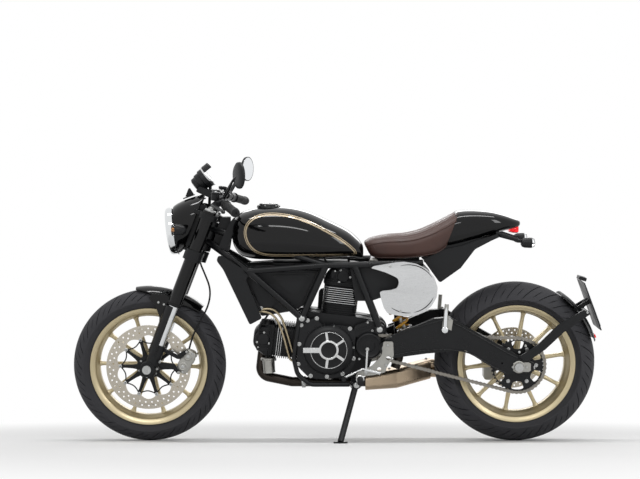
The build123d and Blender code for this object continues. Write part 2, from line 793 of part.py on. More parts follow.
def head(up):
    """Add one cylinder head with its valve covers."""
    with BuildSketch(stacked(up, barrel_end)) as head_outline:
        RectangleRounded(2 * head_half_width, 2 * head_half_depth, engine_edge)
    extrude(head_outline.sketch, amount=head_length)


with BuildPart() as cylinders:
    barrel(rear_up)
    barrel(front_up)

with BuildPart() as cylinder_heads:
    head(rear_up)
    head(front_up)

panel_inner = 112.0

# Side covers of the engine, the chain wheel cover and the belt cover on the right
alternator_share = (-0.010, 0.4725)
clutch_share = (0.020, 0.455)
alternator_radius = 92.0
clutch_radius = 88.0
sprocket_cover_radius = 44.0
cover_plate = 14.0
cover_edge = 10.0
with BuildPart() as engine_covers:
    left_face = -engine_half_width
    across(left_face, left_face - cover_plate, flat(side_case_shares), cover_edge)
    pin(spot(alternator_share), left_face - cover_plate, left_face - cover_depth, alternator_radius)
    across(engine_half_width + cover_plate, engine_half_width, flat(side_case_shares), cover_edge)
    pin(spot(clutch_share), engine_half_width + cover_depth, engine_half_width + cover_plate,
        clutch_radius)
    cover_inner = -chain_line - chain_width / 2 - fit_gap
    pin(sprocket_at, cover_inner, left_face - cover_depth, sprocket_cover_radius)
    pin(pivot_at, 0, left_face - cover_depth - overrun, pivot_radius + pivot_clearance,
        mode=Mode.SUBTRACT)

# Engine oil cooler ahead of the front barrel, with its two lines down to the sump
cooler_share = (-0.213, 0.690)
cooler_length = 38.0
cooler_height = 70.0
cooler_tilt = 27.7
cooler_half_width = panel_inner - fit_gap
with BuildPart() as oil_cooler:
    with BuildSketch(side_plane(cooler_half_width, spot(cooler_share))):
        Rectangle(cooler_length, cooler_height, rotation=cooler_tilt)
    extrude(amount=2 * cooler_half_width)

# Exhaust: two header pipes under the engine into a low silencer on the right
header_radius = 19.0
header_bend = 40.0
front_port = crank_at + front_up * (barrel_end + head_length / 2)
rear_port = crank_at + rear_up * (barrel_end + head_length / 2)
header_side = 30.0
front_drop = 96.0
rear_drop = 64.0
front_header_shares = ((-0.110, 0.284), (0.092, 0.284))
rear_header_shares = ((0.1845, 0.700), (0.1845, 0.400), (0.175, 0.348))
with BuildPart() as exhaust_pipes:
    across_ports = Vector(0, header_side, 0)
    front_exit = front_port + across_ports - rear_up * (head_half_depth + fit_gap)
    rear_exit = rear_port + across_ports - front_up * (head_half_depth + fit_gap)
    bar(
        [
            front_exit,
            front_exit - rear_up * front_drop,
            *(spot(share, header_side) for share in front_header_shares),
        ],
        header_radius, header_bend,
    )
    bar(
        [
            rear_exit,
            rear_exit - front_up * rear_drop,
            *(spot(share, 2 * header_side) for share in rear_header_shares),
        ],
        header_radius, header_radius,
    )

silencer_shares = (0.092, 0.180, 0.276)
silencer_sides = (45.0, 115.0, 150.0)
silencer_heights = (226.0, 232.0, 262.0)
silencer_widths = (90.0, 110.0, 84.0)
silencer_depths = (62.0, 78.0, 78.0)
silencer_edge = 22.0
outlet_radius = 17.0
outlet_lift = 17.85
outlet_length = 26.0
with BuildPart() as muffler:
    for share, side, height, width, depth in zip(
        silencer_shares, silencer_sides, silencer_heights, silencer_widths, silencer_depths,
    ):
        with BuildSketch(
            Plane(origin=(wheelbase * share, side, height), x_dir=(0, 1, 0), z_dir=(1, 0, 0))
        ):
            RectangleRounded(width, depth, silencer_edge)
    loft(ruled=True)
    for lift in (-outlet_lift, outlet_lift):
        outlet_at = Vector(
            wheelbase * silencer_shares[-1], silencer_sides[-1], silencer_heights[-1] + lift,
        )
        post(outlet_at, outlet_at + Vector(outlet_length, 0, 0), outlet_radius)

# Tank, filler cap, seat and tail
def plan(edge, mode=Mode.INTERSECT):
    """Keep what lies within a plan outline, given as places along one edge of it."""
    far = [(x, -y) for x, y in reversed(edge)]
    with BuildSketch(Plane.XY) as outline:
        with BuildLine():
            Polyline(*edge, *far, close=True)
        make_face()
    extrude(outline.sketch, amount=2 * seat_height, mode=mode)


def edges(shares, half_width):
    """Half widths along the bike as places on the left edge of a plan outline."""
    return [(wheelbase * along, -half_width * wide) for along, wide in shares]


with BuildPart() as tank_tunnel:
    arch_at = spot(arch_share)
    tube_fall = arch_at - head_high
    tunnel_gap = (tube_radius + fit_gap) * tube_fall.length / tube_fall.X
    across(
        tank_half_width, -tank_half_width,
        [(head_high.X, head_high.Z + tunnel_gap), (arch_at.X, arch_at.Z + tunnel_gap),
         (arch_at.X, arch_at.Z - tunnel_gap), (head_high.X, arch_at.Z - tunnel_gap)],
    )
    plan([(head_high.X, head_side - tunnel_gap), (arch_at.X, -frame_half_width - tunnel_gap)])

with BuildPart() as fuel_tank:
    across(tank_half_width, -tank_half_width, flat(tank_side_shares))
    plan(edges(tank_plan_shares, tank_half_width))
    add(tank_tunnel.part, mode=Mode.SUBTRACT)

cap_share = (-0.173, 1.157)
cap_radius = 44.0
cap_height = 12.0
with BuildPart() as filler_cap:
    cap_at = spot(cap_share)
    with BuildSketch(Plane.XY.offset(cap_at.Z - cap_height)):
        with Locations((cap_at.X, 0)):
            Circle(cap_radius)
    extrude(amount=2 * cap_height)
    add(fuel_tank.part, mode=Mode.SUBTRACT)

with BuildPart() as seat:
    across(seat_half_width, -seat_half_width, flat(seat_side_shares))
    plan(edges(seat_plan_shares, seat_half_width))
    for side in (-1, 1):
        post(spot(arch_rear_share, side * frame_half_width),
             spot(subframe_end_share, -side * seat_rail_side), tube_radius + fit_gap,
             mode=Mode.SUBTRACT)

with BuildPart() as tail_cowl:
    across(cowl_half_width, -cowl_half_width, flat(cowl_side_shares))
    plan(edges(cowl_plan_shares, cowl_half_width))
    add(seat.part, mode=Mode.SUBTRACT)

with BuildPart() as undertray:
    across(undertray_half_width, -undertray_half_width, flat(undertray_shares))
    add(seat.part, mode=Mode.SUBTRACT)
    add(tail_cowl.part, mode=Mode.SUBTRACT)


# Lamps at the tail
tail_lamp_share = (0.4960, 1.050)
tail_lamp_half_width = 38.0
tail_lamp_height = 26.0
tail_lamp_depth = 26.0
stalk_share = (0.443, 1.040)
stalk_end_share = (0.525, 0.990)
stalk_side = 60.0
stalk_end_side = 118.0
stalk_radius = 6.0
indicator_radius = 19.0
indicator_depth = 34.0
with BuildPart() as rear_lamps:
    with BuildSketch(side_plane(tail_lamp_half_width, spot(tail_lamp_share))):
        RectangleRounded(tail_lamp_depth, tail_lamp_height, 0.2 * tail_lamp_height)
    extrude(amount=2 * tail_lamp_half_width)
    for side in (-1, 1):
        stalk_end = spot(stalk_end_share, side * stalk_end_side)
        post(spot(stalk_share, side * stalk_side), stalk_end, stalk_radius)
        post(stalk_end - Vector(indicator_depth / 3, 0, 0),
             stalk_end + Vector(indicator_depth, 0, 0), indicator_radius)
    add(tail_cowl.part, mode=Mode.SUBTRACT)

# Oval side covers with a notch at the front
side_cover_inner = frame_half_width + tube_radius + fit_gap
side_cover_thickness = 4.0
cover_boss_share = (0.160, 0.886)
cover_boss_radius = 7.0
with BuildPart() as side_covers:
    across(-side_cover_inner, -side_cover_inner - side_cover_thickness, flat(side_cover_shares))
    pin(spot(cover_boss_share), seat_rail_side, -side_cover_inner - overrun, cover_boss_radius)
    post(spot(arch_rear_share, -frame_half_width), spot(subframe_end_share, seat_rail_side),
         tube_radius + fit_gap, mode=Mode.SUBTRACT)
    mirror(about=Plane.XZ)

# Swingarm: two kinked arms on the pivot shaft, with a beam ahead of the tyre
beam_half = arm_inner
bobbin_share = (0.455, 0.412)
bobbin_hole_radius = 4.0
bobbin_depth = 20.0
shaft_length = arm_outer + axle_nut_length


def swing_side():
    """Add the left arm with its pivot tube and axle slot."""
    across(-arm_inner, -arm_outer, flat(arm_shares))
    pin(pivot_at, -lug_half_width - fit_gap, -arm_outer, pivot_radius)
    pin(pivot_at, 0, -arm_outer - overrun, pivot_shaft_radius + running_gap, mode=Mode.SUBTRACT)
    pin(rear_axle_at, 0, -arm_outer - overrun, axle_radius + running_gap, mode=Mode.SUBTRACT)
    pin(spot(bobbin_share), bobbin_depth - arm_outer, -arm_outer - overrun, bobbin_hole_radius,
        mode=Mode.SUBTRACT)


with BuildPart() as swingarm_left:
    swing_side()

with BuildPart() as swingarm_right:
    swing_side()
    mirror(about=Plane.XZ, mode=Mode.REPLACE)

with BuildPart() as swingarm_beam:
    across(beam_half, -beam_half, flat(beam_shares))

with BuildPart() as swingarm_shaft:
    pin(pivot_at, shaft_length, -shaft_length, pivot_shaft_radius)
    pin(pivot_at, -arm_outer, -shaft_length, axle_nut_radius)
    pin(pivot_at, shaft_length, arm_outer, axle_nut_radius)

rear_reach = arm_outer + 2 * axle_nut_length
drum_face = chain_line + sprocket_thickness / 2 + fit_gap
with BuildPart() as rear_axle:
    pin(rear_axle_at, rear_reach, -rear_reach, axle_radius)
    pin(rear_axle_at, -drum_face, -arm_inner, axle_collar_radius)
    pin(rear_axle_at, arm_inner, rear_disc_face + fit_gap, axle_collar_radius)
    pin(rear_axle_at, -arm_outer, -rear_reach, axle_nut_radius)
    pin(rear_axle_at, rear_reach, arm_outer, axle_nut_radius)

# Shock absorber from the beam up to a cross tube under the seat
shock_side = -60.0
shock_low_share = (0.212, 0.495)
shock_body_radius = 22.0
with BuildPart() as shock_absorber:
    shock_low = spot(shock_low_share, shock_side)
    cross_at = spot(cross_tube_share)
    post(shock_low, Vector(cross_at.X, shock_side, cross_at.Z), shock_body_radius)
    pin(cross_at, 0, 2 * shock_side, cross_tube_radius + fit_gap, mode=Mode.SUBTRACT)
    add(swingarm_beam.part, mode=Mode.SUBTRACT)

# Drive chain around both chain wheels
chain_half = chain_width / 2
axle_span = rear_axle_at - sprocket_at
slope = math.asin((rear_chain_radius - front_chain_radius) / axle_span.length)
lie = math.atan2(axle_span.Z, axle_span.X)


def chain_loop(grow, mode=Mode.ADD):
    """Add the loop around both wheels, grown outwards from the pitch line."""
    with BuildSketch(side_plane(-chain_line + chain_half)) as loop:
        with BuildLine():
            ends = []
            for turn in (1, -1):
                way = lie + turn * (math.pi / 2 + slope)
                toward = Vector(math.cos(way), 0, math.sin(way))
                ends.append((
                    sprocket_at + toward * (front_chain_radius + grow),
                    rear_axle_at + toward * (rear_chain_radius + grow),
                ))
            back = Vector(math.cos(lie), 0, math.sin(lie))
            front_point = sprocket_at - back * (front_chain_radius + grow)
            rear_point = rear_axle_at + back * (rear_chain_radius + grow)
            places = [
                (place.X, place.Z)
                for place in (*ends[0], rear_point, *reversed(ends[1]), front_point)
            ]
            Line(places[0], places[1])
            ThreePointArc(places[1], places[2], places[3])
            Line(places[3], places[4])
            ThreePointArc(places[4], places[5], places[0])
        make_face()
    extrude(loop.sketch, amount=chain_width, mode=mode)


with BuildPart() as chain:
    chain_loop(chain_outer_half)
    chain_loop(-chain_roller_radius, mode=Mode.SUBTRACT)

# Rear number plate, blank, on an arm bolted outside the left end of the swingarm
holder_shares = (
    (0.497, 0.442), (0.548, 0.500), (0.604, 0.600), (0.672, 0.672), (0.690, 0.652),
    (0.618, 0.562), (0.570, 0.480), (0.524, 0.422),
)
holder_thickness = 8.0
plate_half_width = 90.0
plate_thickness = 4.0
plate_rest_shares = ((0.6790, 0.790), (0.7260, 0.560))
holder_joint_share = (0.681, 0.655)
plate_joint_share = 0.4
with BuildPart() as plate_holder:
    holder_face = -arm_outer
    across(holder_face, holder_face - holder_thickness, flat(holder_shares))
    (top_x, top_z), (low_x, low_z) = flat(plate_rest_shares)
    plate_run = Vector(low_x - top_x, 0, low_z - top_z)
    plate_lean = plate_run.normalized()
    plate_out = Vector(-plate_lean.Z, 0, plate_lean.X) * plate_thickness
    across(
        plate_half_width, -plate_half_width,
        [(top_x, top_z), (low_x, low_z), (low_x + plate_out.X, low_z + plate_out.Z),
         (top_x + plate_out.X, top_z + plate_out.Z)],
    )
    post(spot(holder_joint_share, holder_face - holder_thickness), spot(holder_joint_share),
         rail_radius)
    post(spot(holder_joint_share), Vector(top_x, 0, top_z) + plate_run * plate_joint_share,
         rail_radius)

# Footrests: rider's pegs on plates below the pivot, passenger's pegs folded up
rider_plate_shares = (
    (0.132, 0.455), (0.136, 0.520), (0.162, 0.520), (0.164, 0.450), (0.146, 0.398),
    (0.142, 0.372), (0.112, 0.358), (0.0815, 0.352), (0.0805, 0.324), (0.066, 0.324),
    (0.062, 0.345), (0.066, 0.372), (0.106, 0.402),
)
footrest_thickness = 8.0
peg_share = (0.074, 0.338)
peg_radius = 11.0
peg_length = 82.0
footrest_face = -shaft_length - fit_gap
with BuildPart() as rider_footrests:
    across(footrest_face, footrest_face - footrest_thickness, flat(rider_plate_shares))
    pin(spot(peg_share), footrest_face - footrest_thickness,
        footrest_face - footrest_thickness - peg_length, peg_radius)
    mirror(about=Plane.XZ)

passenger_plate_shares = (
    (0.293, 0.588), (0.318, 0.572), (0.322, 0.622), (0.310, 0.640), (0.296, 0.628),
)
passenger_peg_shares = ((0.300, 0.585), (0.305, 0.700))
passenger_thickness = 9.0
passenger_peg_radius = 8.0
passenger_face = -arm_outer
with BuildPart() as passenger_footrests:
    across(passenger_face, passenger_face - passenger_thickness, flat(passenger_plate_shares))
    peg_line = passenger_face - passenger_thickness - passenger_peg_radius / 2
    post(spot(passenger_peg_shares[0], peg_line), spot(passenger_peg_shares[1], peg_line),
         passenger_peg_radius)
    mirror(about=Plane.XZ)

# Gear lever on the left and brake pedal on the right
lever_shares = ((0.128, 0.368), (0.080, 0.388), (0.030, 0.345))
lever_radius = 6.0
lever_side = footrest_face - footrest_thickness - lever_radius - fit_gap
lever_toe = 40.0
with BuildPart() as foot_controls:
    bar([spot(share, lever_side) for share in lever_shares], lever_radius)
    toe = spot(lever_shares[-1], lever_side)
    post(toe, toe - Vector(0, lever_toe, 0), lever_radius)
    mirror(about=Plane.XZ)

# Dark side panels beside the head tube, and the rails under the engine
panel_shares = (
    (-0.318, 0.925), (-0.296, 0.868), (-0.222, 0.596), (-0.192, 0.620), (-0.230, 0.815),
    (-0.262, 0.900),
)
panel_thickness = 5.0
with BuildPart() as side_panels:
    across(-panel_inner, -panel_inner - panel_thickness, flat(panel_shares))
    post(Vector(head_low.X, head_side, head_low.Z), spot(down_share, -frame_half_width),
         tube_radius + fit_gap, mode=Mode.SUBTRACT)
    mirror(about=Plane.XZ)

# Side stand, drawn down, on a bracket under the engine
floor_normal = Vector(0, math.sin(lean), math.cos(lean))


def floor_height(side):
    """The floor's height in the upright bike's frame, at a distance across it."""
    return (-side * math.sin(lean) - lean_lift) / math.cos(lean)


stand_foot_at = Vector(wheelbase * stand_foot_share, stand_foot_side, floor_height(stand_foot_side))
stand_axis = Vector(*stand_axis_slopes).normalized()
with BuildPart() as side_stand:
    with BuildSketch(Plane(origin=stand_foot_at, x_dir=(1, 0, 0), z_dir=floor_normal)):
        Circle(stand_foot_radius)
    extrude(amount=stand_foot_thickness)
    post(stand_pivot_at, stand_foot_at + floor_normal * stand_foot_thickness, stand_tube_radius)
    post(stand_pivot_at - stand_axis * stand_eye_thickness / 2,
         stand_pivot_at + stand_axis * stand_eye_thickness / 2, stand_eye_radius)
    post(stand_pivot_at - stand_axis * stand_eye_thickness,
         stand_pivot_at + stand_axis * stand_eye_thickness, stand_pin_radius, mode=Mode.SUBTRACT)

stand_block_outer = -engine_half_width + overrun
stand_block_width = 50.0
stand_block_corners = ((-1, -1), (1, -1), (1, 2), (-1, 2))
with BuildPart() as stand_bracket:
    post(stand_pivot_at - stand_axis * stand_eye_thickness,
         stand_pivot_at + stand_axis * stand_eye_thickness, stand_pin_radius - running_gap)
    post(stand_pivot_at + stand_axis * (stand_eye_thickness / 2 + fit_gap),
         stand_pivot_at + stand_axis * stand_socket_length, stand_eye_radius)
    across(
        stand_block_outer, stand_block_outer + stand_block_width,
        [(stand_pivot_at.X + along * stand_eye_radius, stand_pivot_at.Z + up * stand_eye_radius)
         for along, up in stand_block_corners],
    )
    add(engine_block.part, mode=Mode.SUBTRACT)

# Front brake hose, indicators, gauge, hand controls and mirrors
hose_radius = 3.5
hose_bend = 20.0
hose_places = (
    (107.6, -95.8, -74.0), (183.7, -84.8, -74.0), (263.2, -99.3, -72.0), (324.5, -102.5, -68.0),
    (377.2, -86.6, -66.0), (421.1, -47.2, -64.0), (457.4, -10.8, -60.0), (487.5, 2.9, -56.0),
)
hose_points = [on_fork(along, ahead, side) for along, ahead, side in hose_places]
with BuildPart() as brake_hose:
    with BuildLine() as hose_route:
        FilletPolyline(*hose_points, radius=hose_bend)
    with BuildSketch(Plane(origin=hose_route.line @ 0, z_dir=hose_route.line % 0)):
        Circle(hose_radius)
    sweep(path=hose_route.line)
    add(front_caliper.part, mode=Mode.SUBTRACT)
    add(lower_yoke.part, mode=Mode.SUBTRACT)

front_lens_along = 543.0
front_lens_ahead = 132.3
front_lens_radius = 23.0
front_lens_depth = 46.0
front_lens_side = 140.0
with BuildPart() as front_indicators:
    lens_at = on_fork(front_lens_along, front_lens_ahead, -front_lens_side)
    post(lens_at, lens_at + Vector(front_lens_depth, 0, 0), front_lens_radius)
    post(Vector(lens_at.X + front_lens_depth / 2, -fairing_half_width, lens_at.Z),
         lens_at + Vector(front_lens_depth / 2, 0, 0), stalk_radius)
    mirror(about=Plane.XZ)

gauge_radius = 43.0
gauge_depth = 48.0
gauge_along = 779.3
gauge_ahead = 79.2
gauge_slopes = (0.78, 0, 0.62)
gauge_side = 34.0
gauge_post_ahead = 40.0
gauge_post_along = 750.0
gauge_out = Vector(*gauge_slopes).normalized()
with BuildPart() as gauge:
    gauge_at = on_fork(gauge_along, gauge_ahead, gauge_side)
    post(gauge_at - gauge_out * gauge_depth, gauge_at, gauge_radius)
    post(on_fork(upper_yoke_along + upper_yoke_thickness, gauge_post_ahead, gauge_side),
         on_fork(gauge_post_along, gauge_post_ahead, gauge_side), stalk_radius)

clamp_radius = 17.0
clamp_gap = 12.0
clamp_length = 30.0
lever_ahead = 48.0
lever_bend = 14.0
with BuildPart() as hand_controls:
    clamp_start = bar_end + bar_run * (grip_length + clamp_gap)
    post(clamp_start, clamp_start + bar_run * clamp_length, clamp_radius)
    post(clamp_start - bar_run * overrun, clamp_start + bar_run * (clamp_length + overrun),
         bar_radius + running_gap, mode=Mode.SUBTRACT)
    ahead = Vector(-1, 0, 0)
    lever_root = clamp_start + bar_run * clamp_length / 2 + ahead * (clamp_radius - overrun)
    bar([lever_root, lever_root + ahead * (lever_ahead - clamp_radius + overrun),
         bar_end + ahead * lever_ahead], lever_radius, lever_bend)
    mirror(about=Plane.XZ)

mirror_along = 836.9
mirror_ahead = -45.1
mirror_side = -330.0
stem_knee_along = 823.6
stem_knee_ahead = -24.5
stem_knee_side = -300.0
stem_bend = 10.0
mirror_radius = 50.0
stem_place = 190.0
mirror_depth = 16.0
with BuildPart() as mirrors:
    mirror_at = on_fork(mirror_along, mirror_ahead, mirror_side)
    post(mirror_at - Vector(mirror_depth, 0, 0), mirror_at, mirror_radius)
    stem_low = bar_end + bar_run * stem_place
    stem_knee = on_fork(stem_knee_along, stem_knee_ahead, stem_knee_side)
    bar([stem_low, stem_knee, mirror_at - Vector(mirror_depth / 2, 0, 0)], stalk_radius, stem_bend)
    post(bar_end, bar_knee, bar_radius + fit_gap, mode=Mode.SUBTRACT)
    mirror(about=Plane.XZ)

# The rear brake caliper under the right arm
rear_caliper_turn = 210.0
rear_bracket_ratio_shares = ((-0.92, -0.60), (-0.58, -0.60), (-0.48, 0.10), (-0.84, 0.26))
with BuildPart() as rear_caliper:
    rear_caliper_at = rear_axle_at + Vector(0.86 * rear_disc_radius, 0, 0).rotate(Axis.Y, -rear_caliper_turn)
    with BuildSketch(side_plane(rear_disc_offset + caliper_half_width, rear_caliper_at)):
        RectangleRounded(caliper_height, 0.7 * caliper_length, 0.3 * caliper_height)
    extrude(amount=2 * caliper_half_width)
    across(
        arm_inner, rear_disc_offset + caliper_half_width,
        [(rear_axle_at.X + rear_disc_radius * along, rear_axle_at.Z + rear_disc_radius * up)
         for along, up in rear_bracket_ratio_shares],
    )
    pin(
        rear_axle_at, rear_disc_face + caliper_slot_gap,
        rear_disc_face - disc_thickness - caliper_slot_gap,
        rear_disc_radius + 2 * caliper_slot_gap, mode=Mode.SUBTRACT,
    )

# Lean the machine onto its stand, set it on the middle of its floor area and write it
pieces = {
    "head_tube": head_tube, "frame_left": frame_left, "frame_right": frame_right,
    "side_panels": side_panels, "engine_block": engine_block,
    "cylinders": cylinders, "cylinder_heads": cylinder_heads, "engine_covers": engine_covers,
    "oil_cooler": oil_cooler, "exhaust_pipes": exhaust_pipes, "muffler": muffler,
    "fuel_tank": fuel_tank, "filler_cap": filler_cap, "seat": seat, "tail_cowl": tail_cowl,
    "undertray": undertray, "rear_lamps": rear_lamps, "side_covers": side_covers,
    "swingarm_left": swingarm_left, "swingarm_right": swingarm_right,
    "swingarm_beam": swingarm_beam, "swingarm_shaft": swingarm_shaft,
    "rear_axle": rear_axle, "rear_caliper": rear_caliper, "shock_absorber": shock_absorber,
    "chain": chain, "plate_holder": plate_holder, "rider_footrests": rider_footrests,
    "passenger_footrests": passenger_footrests, "foot_controls": foot_controls,
    "stand_bracket": stand_bracket, "side_stand": side_stand,
    "lower_yoke": lower_yoke, "upper_yoke": upper_yoke, "fork_outer_tubes": fork_outer_tubes,
    "fork_stanchions": fork_stanchions, "fork_feet": fork_feet, "front_axle": front_axle,
    "front_mudguard": front_mudguard, "front_caliper": front_caliper, "brake_hose": brake_hose,
    "headlamp": headlamp, "nose_fairing": nose_fairing, "front_indicators": front_indicators,
    "gauge": gauge, "handlebar": handlebar, "grips": grips, "hand_controls": hand_controls,
    "mirrors": mirrors, "front_tyre": front_tyre, "front_wheel": front_wheel,
    "front_disc": front_disc, "disc_carrier": disc_carrier, "rear_tyre": rear_tyre,
    "rear_wheel": rear_wheel, "rear_sprocket": rear_sprocket, "rear_disc": rear_disc,
}
leaned = {name: piece.part.rotate(Axis.X, lean_angle) for name, piece in pieces.items()}
boxes = [part.bounding_box() for part in leaned.values()]
middle = Vector(
    (min(box.min.X for box in boxes) + max(box.max.X for box in boxes)) / 2,
    (min(box.min.Y for box in boxes) + max(box.max.Y for box in boxes)) / 2,
    min(box.min.Z for box in boxes),
)
for name, part in leaned.items():
    placed = part.translate(-middle)
    placed.label = name
    export_step(placed, f"parts/{name}.step")
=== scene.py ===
"""Looks of the cafe racer motorcycle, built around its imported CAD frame."""

from math import asin, atan2, copysign, cos, degrees, pi, radians, sin, sqrt, tau

import bmesh
import bpy
from mathutils import Matrix, Vector
from mathutils.bvhtree import BVHTree
from mathutils.geometry import tessellate_polygon


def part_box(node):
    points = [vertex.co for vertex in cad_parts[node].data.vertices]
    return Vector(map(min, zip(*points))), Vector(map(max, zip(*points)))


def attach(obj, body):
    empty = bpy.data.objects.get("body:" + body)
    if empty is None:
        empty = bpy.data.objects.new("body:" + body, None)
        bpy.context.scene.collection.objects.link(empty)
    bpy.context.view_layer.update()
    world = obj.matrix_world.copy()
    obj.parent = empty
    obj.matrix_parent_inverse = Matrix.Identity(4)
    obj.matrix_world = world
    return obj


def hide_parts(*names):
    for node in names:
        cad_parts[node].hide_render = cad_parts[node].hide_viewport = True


bl_info = {"name": "Cafe Racer Motorcycle", "version": (1, 0, 0), "blender": (4, 5, 0),
    "location": "View3D > Sidebar > Cafe Racer",
    "description": "Builds the bodywork, engine, wheels and finishes of a cafe racer", "category": "Object"}

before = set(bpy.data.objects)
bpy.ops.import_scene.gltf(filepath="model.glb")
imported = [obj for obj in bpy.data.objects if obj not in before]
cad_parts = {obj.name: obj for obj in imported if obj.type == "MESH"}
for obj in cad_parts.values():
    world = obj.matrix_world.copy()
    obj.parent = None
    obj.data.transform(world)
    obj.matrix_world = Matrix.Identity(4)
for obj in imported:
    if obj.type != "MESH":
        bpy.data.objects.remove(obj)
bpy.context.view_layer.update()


def V(x, y, z):
    """A place or a direction."""
    return Vector((x, y, z))


# Pieces are drawn upright in millimetres, +X to the rear and -Y to the rider's left, and
# BIKE sets them on the leaning machine.
LEAN = radians(9)
RAKE = radians(21)
FRONT_AXLE = V(-718, 0, 299.59)
REAR_AXLE = V(718, 0, 315)
UP = V(sin(RAKE), 0, cos(RAKE))
BACK = V(cos(RAKE), 0, -sin(RAKE))
STEER_FOOT = FRONT_AXLE + BACK * 30
CRANK = V(10, 0, 378)
REAR = V(1, 0, 0)
LEFT = V(0, -1, 0)
RIGHT = V(0, 1, 0)
TOP = V(0, 0, 1)
SIDES = (-1, 1)
# Edges that bend more than this stay crisp.
CRISP = radians(38)


def bike_matrix():
    """Upright millimetres to the row frame, found from the front axle's own solid."""
    low, high = (Vector(corner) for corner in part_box("front_axle"))
    turn = Matrix.Rotation(LEAN, 4, "X")
    return Matrix.Translation((low + high) / 2 - turn @ (FRONT_AXLE / 1000)) @ turn @ Matrix.Scale(0.001, 4)


BIKE = bike_matrix()


def on_fork(along, ahead=0, side=0):
    """A place along the steering axis, ahead of it and across it."""
    return STEER_FOOT + UP * along - BACK * ahead + V(0, side, 0)


def ray(turn, reach=1, side=0):
    """A step in side view, turned up from the rear, and a step across."""
    return V(reach * cos(turn), side, reach * sin(turn))


def flow(rows, steps):
    """Rows of numbers, with smooth rows put in between."""
    dense = []
    last = len(rows) - 1
    for i in range(last):
        spans = list(zip(rows[max(i - 1, 0)], rows[i], rows[i + 1], rows[min(i + 2, last)]))
        for step in range(steps):
            t = step / steps
            dense.append(tuple(0.5 * (2 * b + (c - a) * t + (2 * a - 5 * b + 4 * c - d) * t**2 + (3 * b - a -
                3 * c + d) * t**3) for a, b, c, d in spans))
    dense.append(tuple(float(value) for value in rows[last]))
    return dense


def flowing(points, steps):
    """A smooth line of places through the given ones."""
    return [Vector(row) for row in flow([tuple(p) for p in points], steps)]


def power(value, square):
    """The coordinate of a squared-off circle."""
    return copysign(abs(value) ** (2 / square), value)


def hoop(centre, across, upward, half, low, high, square=2, count=24):
    """A squared-off ring with its own reach across, below and above the centre."""
    ring = []
    for i in range(count):
        turn = tau * i / count
        lift = power(sin(turn), square)
        ring.append(centre + across * (half * power(cos(turn),
            square)) + upward * (lift * (high if lift > 0 else low)))
    return ring


def shell_hoop(x, low, high, half, lean, waist, square, count):
    """One upright ring of the bodywork, leaning back as it rises."""
    middle = low + waist * (high - low)
    return hoop(V(x, 0, middle), RIGHT, V(lean, 0, 1), half, middle - low, high - middle, square, count)


def rounded(points, radius, steps=4):
    """A flat outline with its corners rounded."""
    result = []
    for i, here in enumerate(points):
        here = Vector(here)
        back, on = Vector(points[i - 1]) - here, Vector(points[(i + 1) % len(points)]) - here
        reach = min(radius, back.length / 2.2, on.length / 2.2)
        start, end = here + back.normalized() * reach, here + on.normalized() * reach
        for step in range(steps + 1):
            t = step / steps
            result.append(tuple(start * (1 - t) ** 2 + here * 2 * t * (1 - t) + end * t**2))
    return result


def around(count, start=0):
    """Evenly spaced turns in radians, the first given in degrees."""
    return [radians(start + 360 * i / count) for i in range(count)]


def coil(start, run, rise, count, step, radius):
    """Places on a coil about a line, a step of turn between one and the next."""
    one = run.orthogonal().normalized()
    two = run.cross(one)
    return [start + run * (rise * i / count) + (one * cos(i * step) + two * sin(i * step)) * radius
        for i in range(count + 1)]


def circle_outline(x, z, radius, count=24):
    """A round outline in side view."""
    return [(x + radius * cos(tau * i / count), z + radius * sin(tau * i / count)) for i in range(count)]


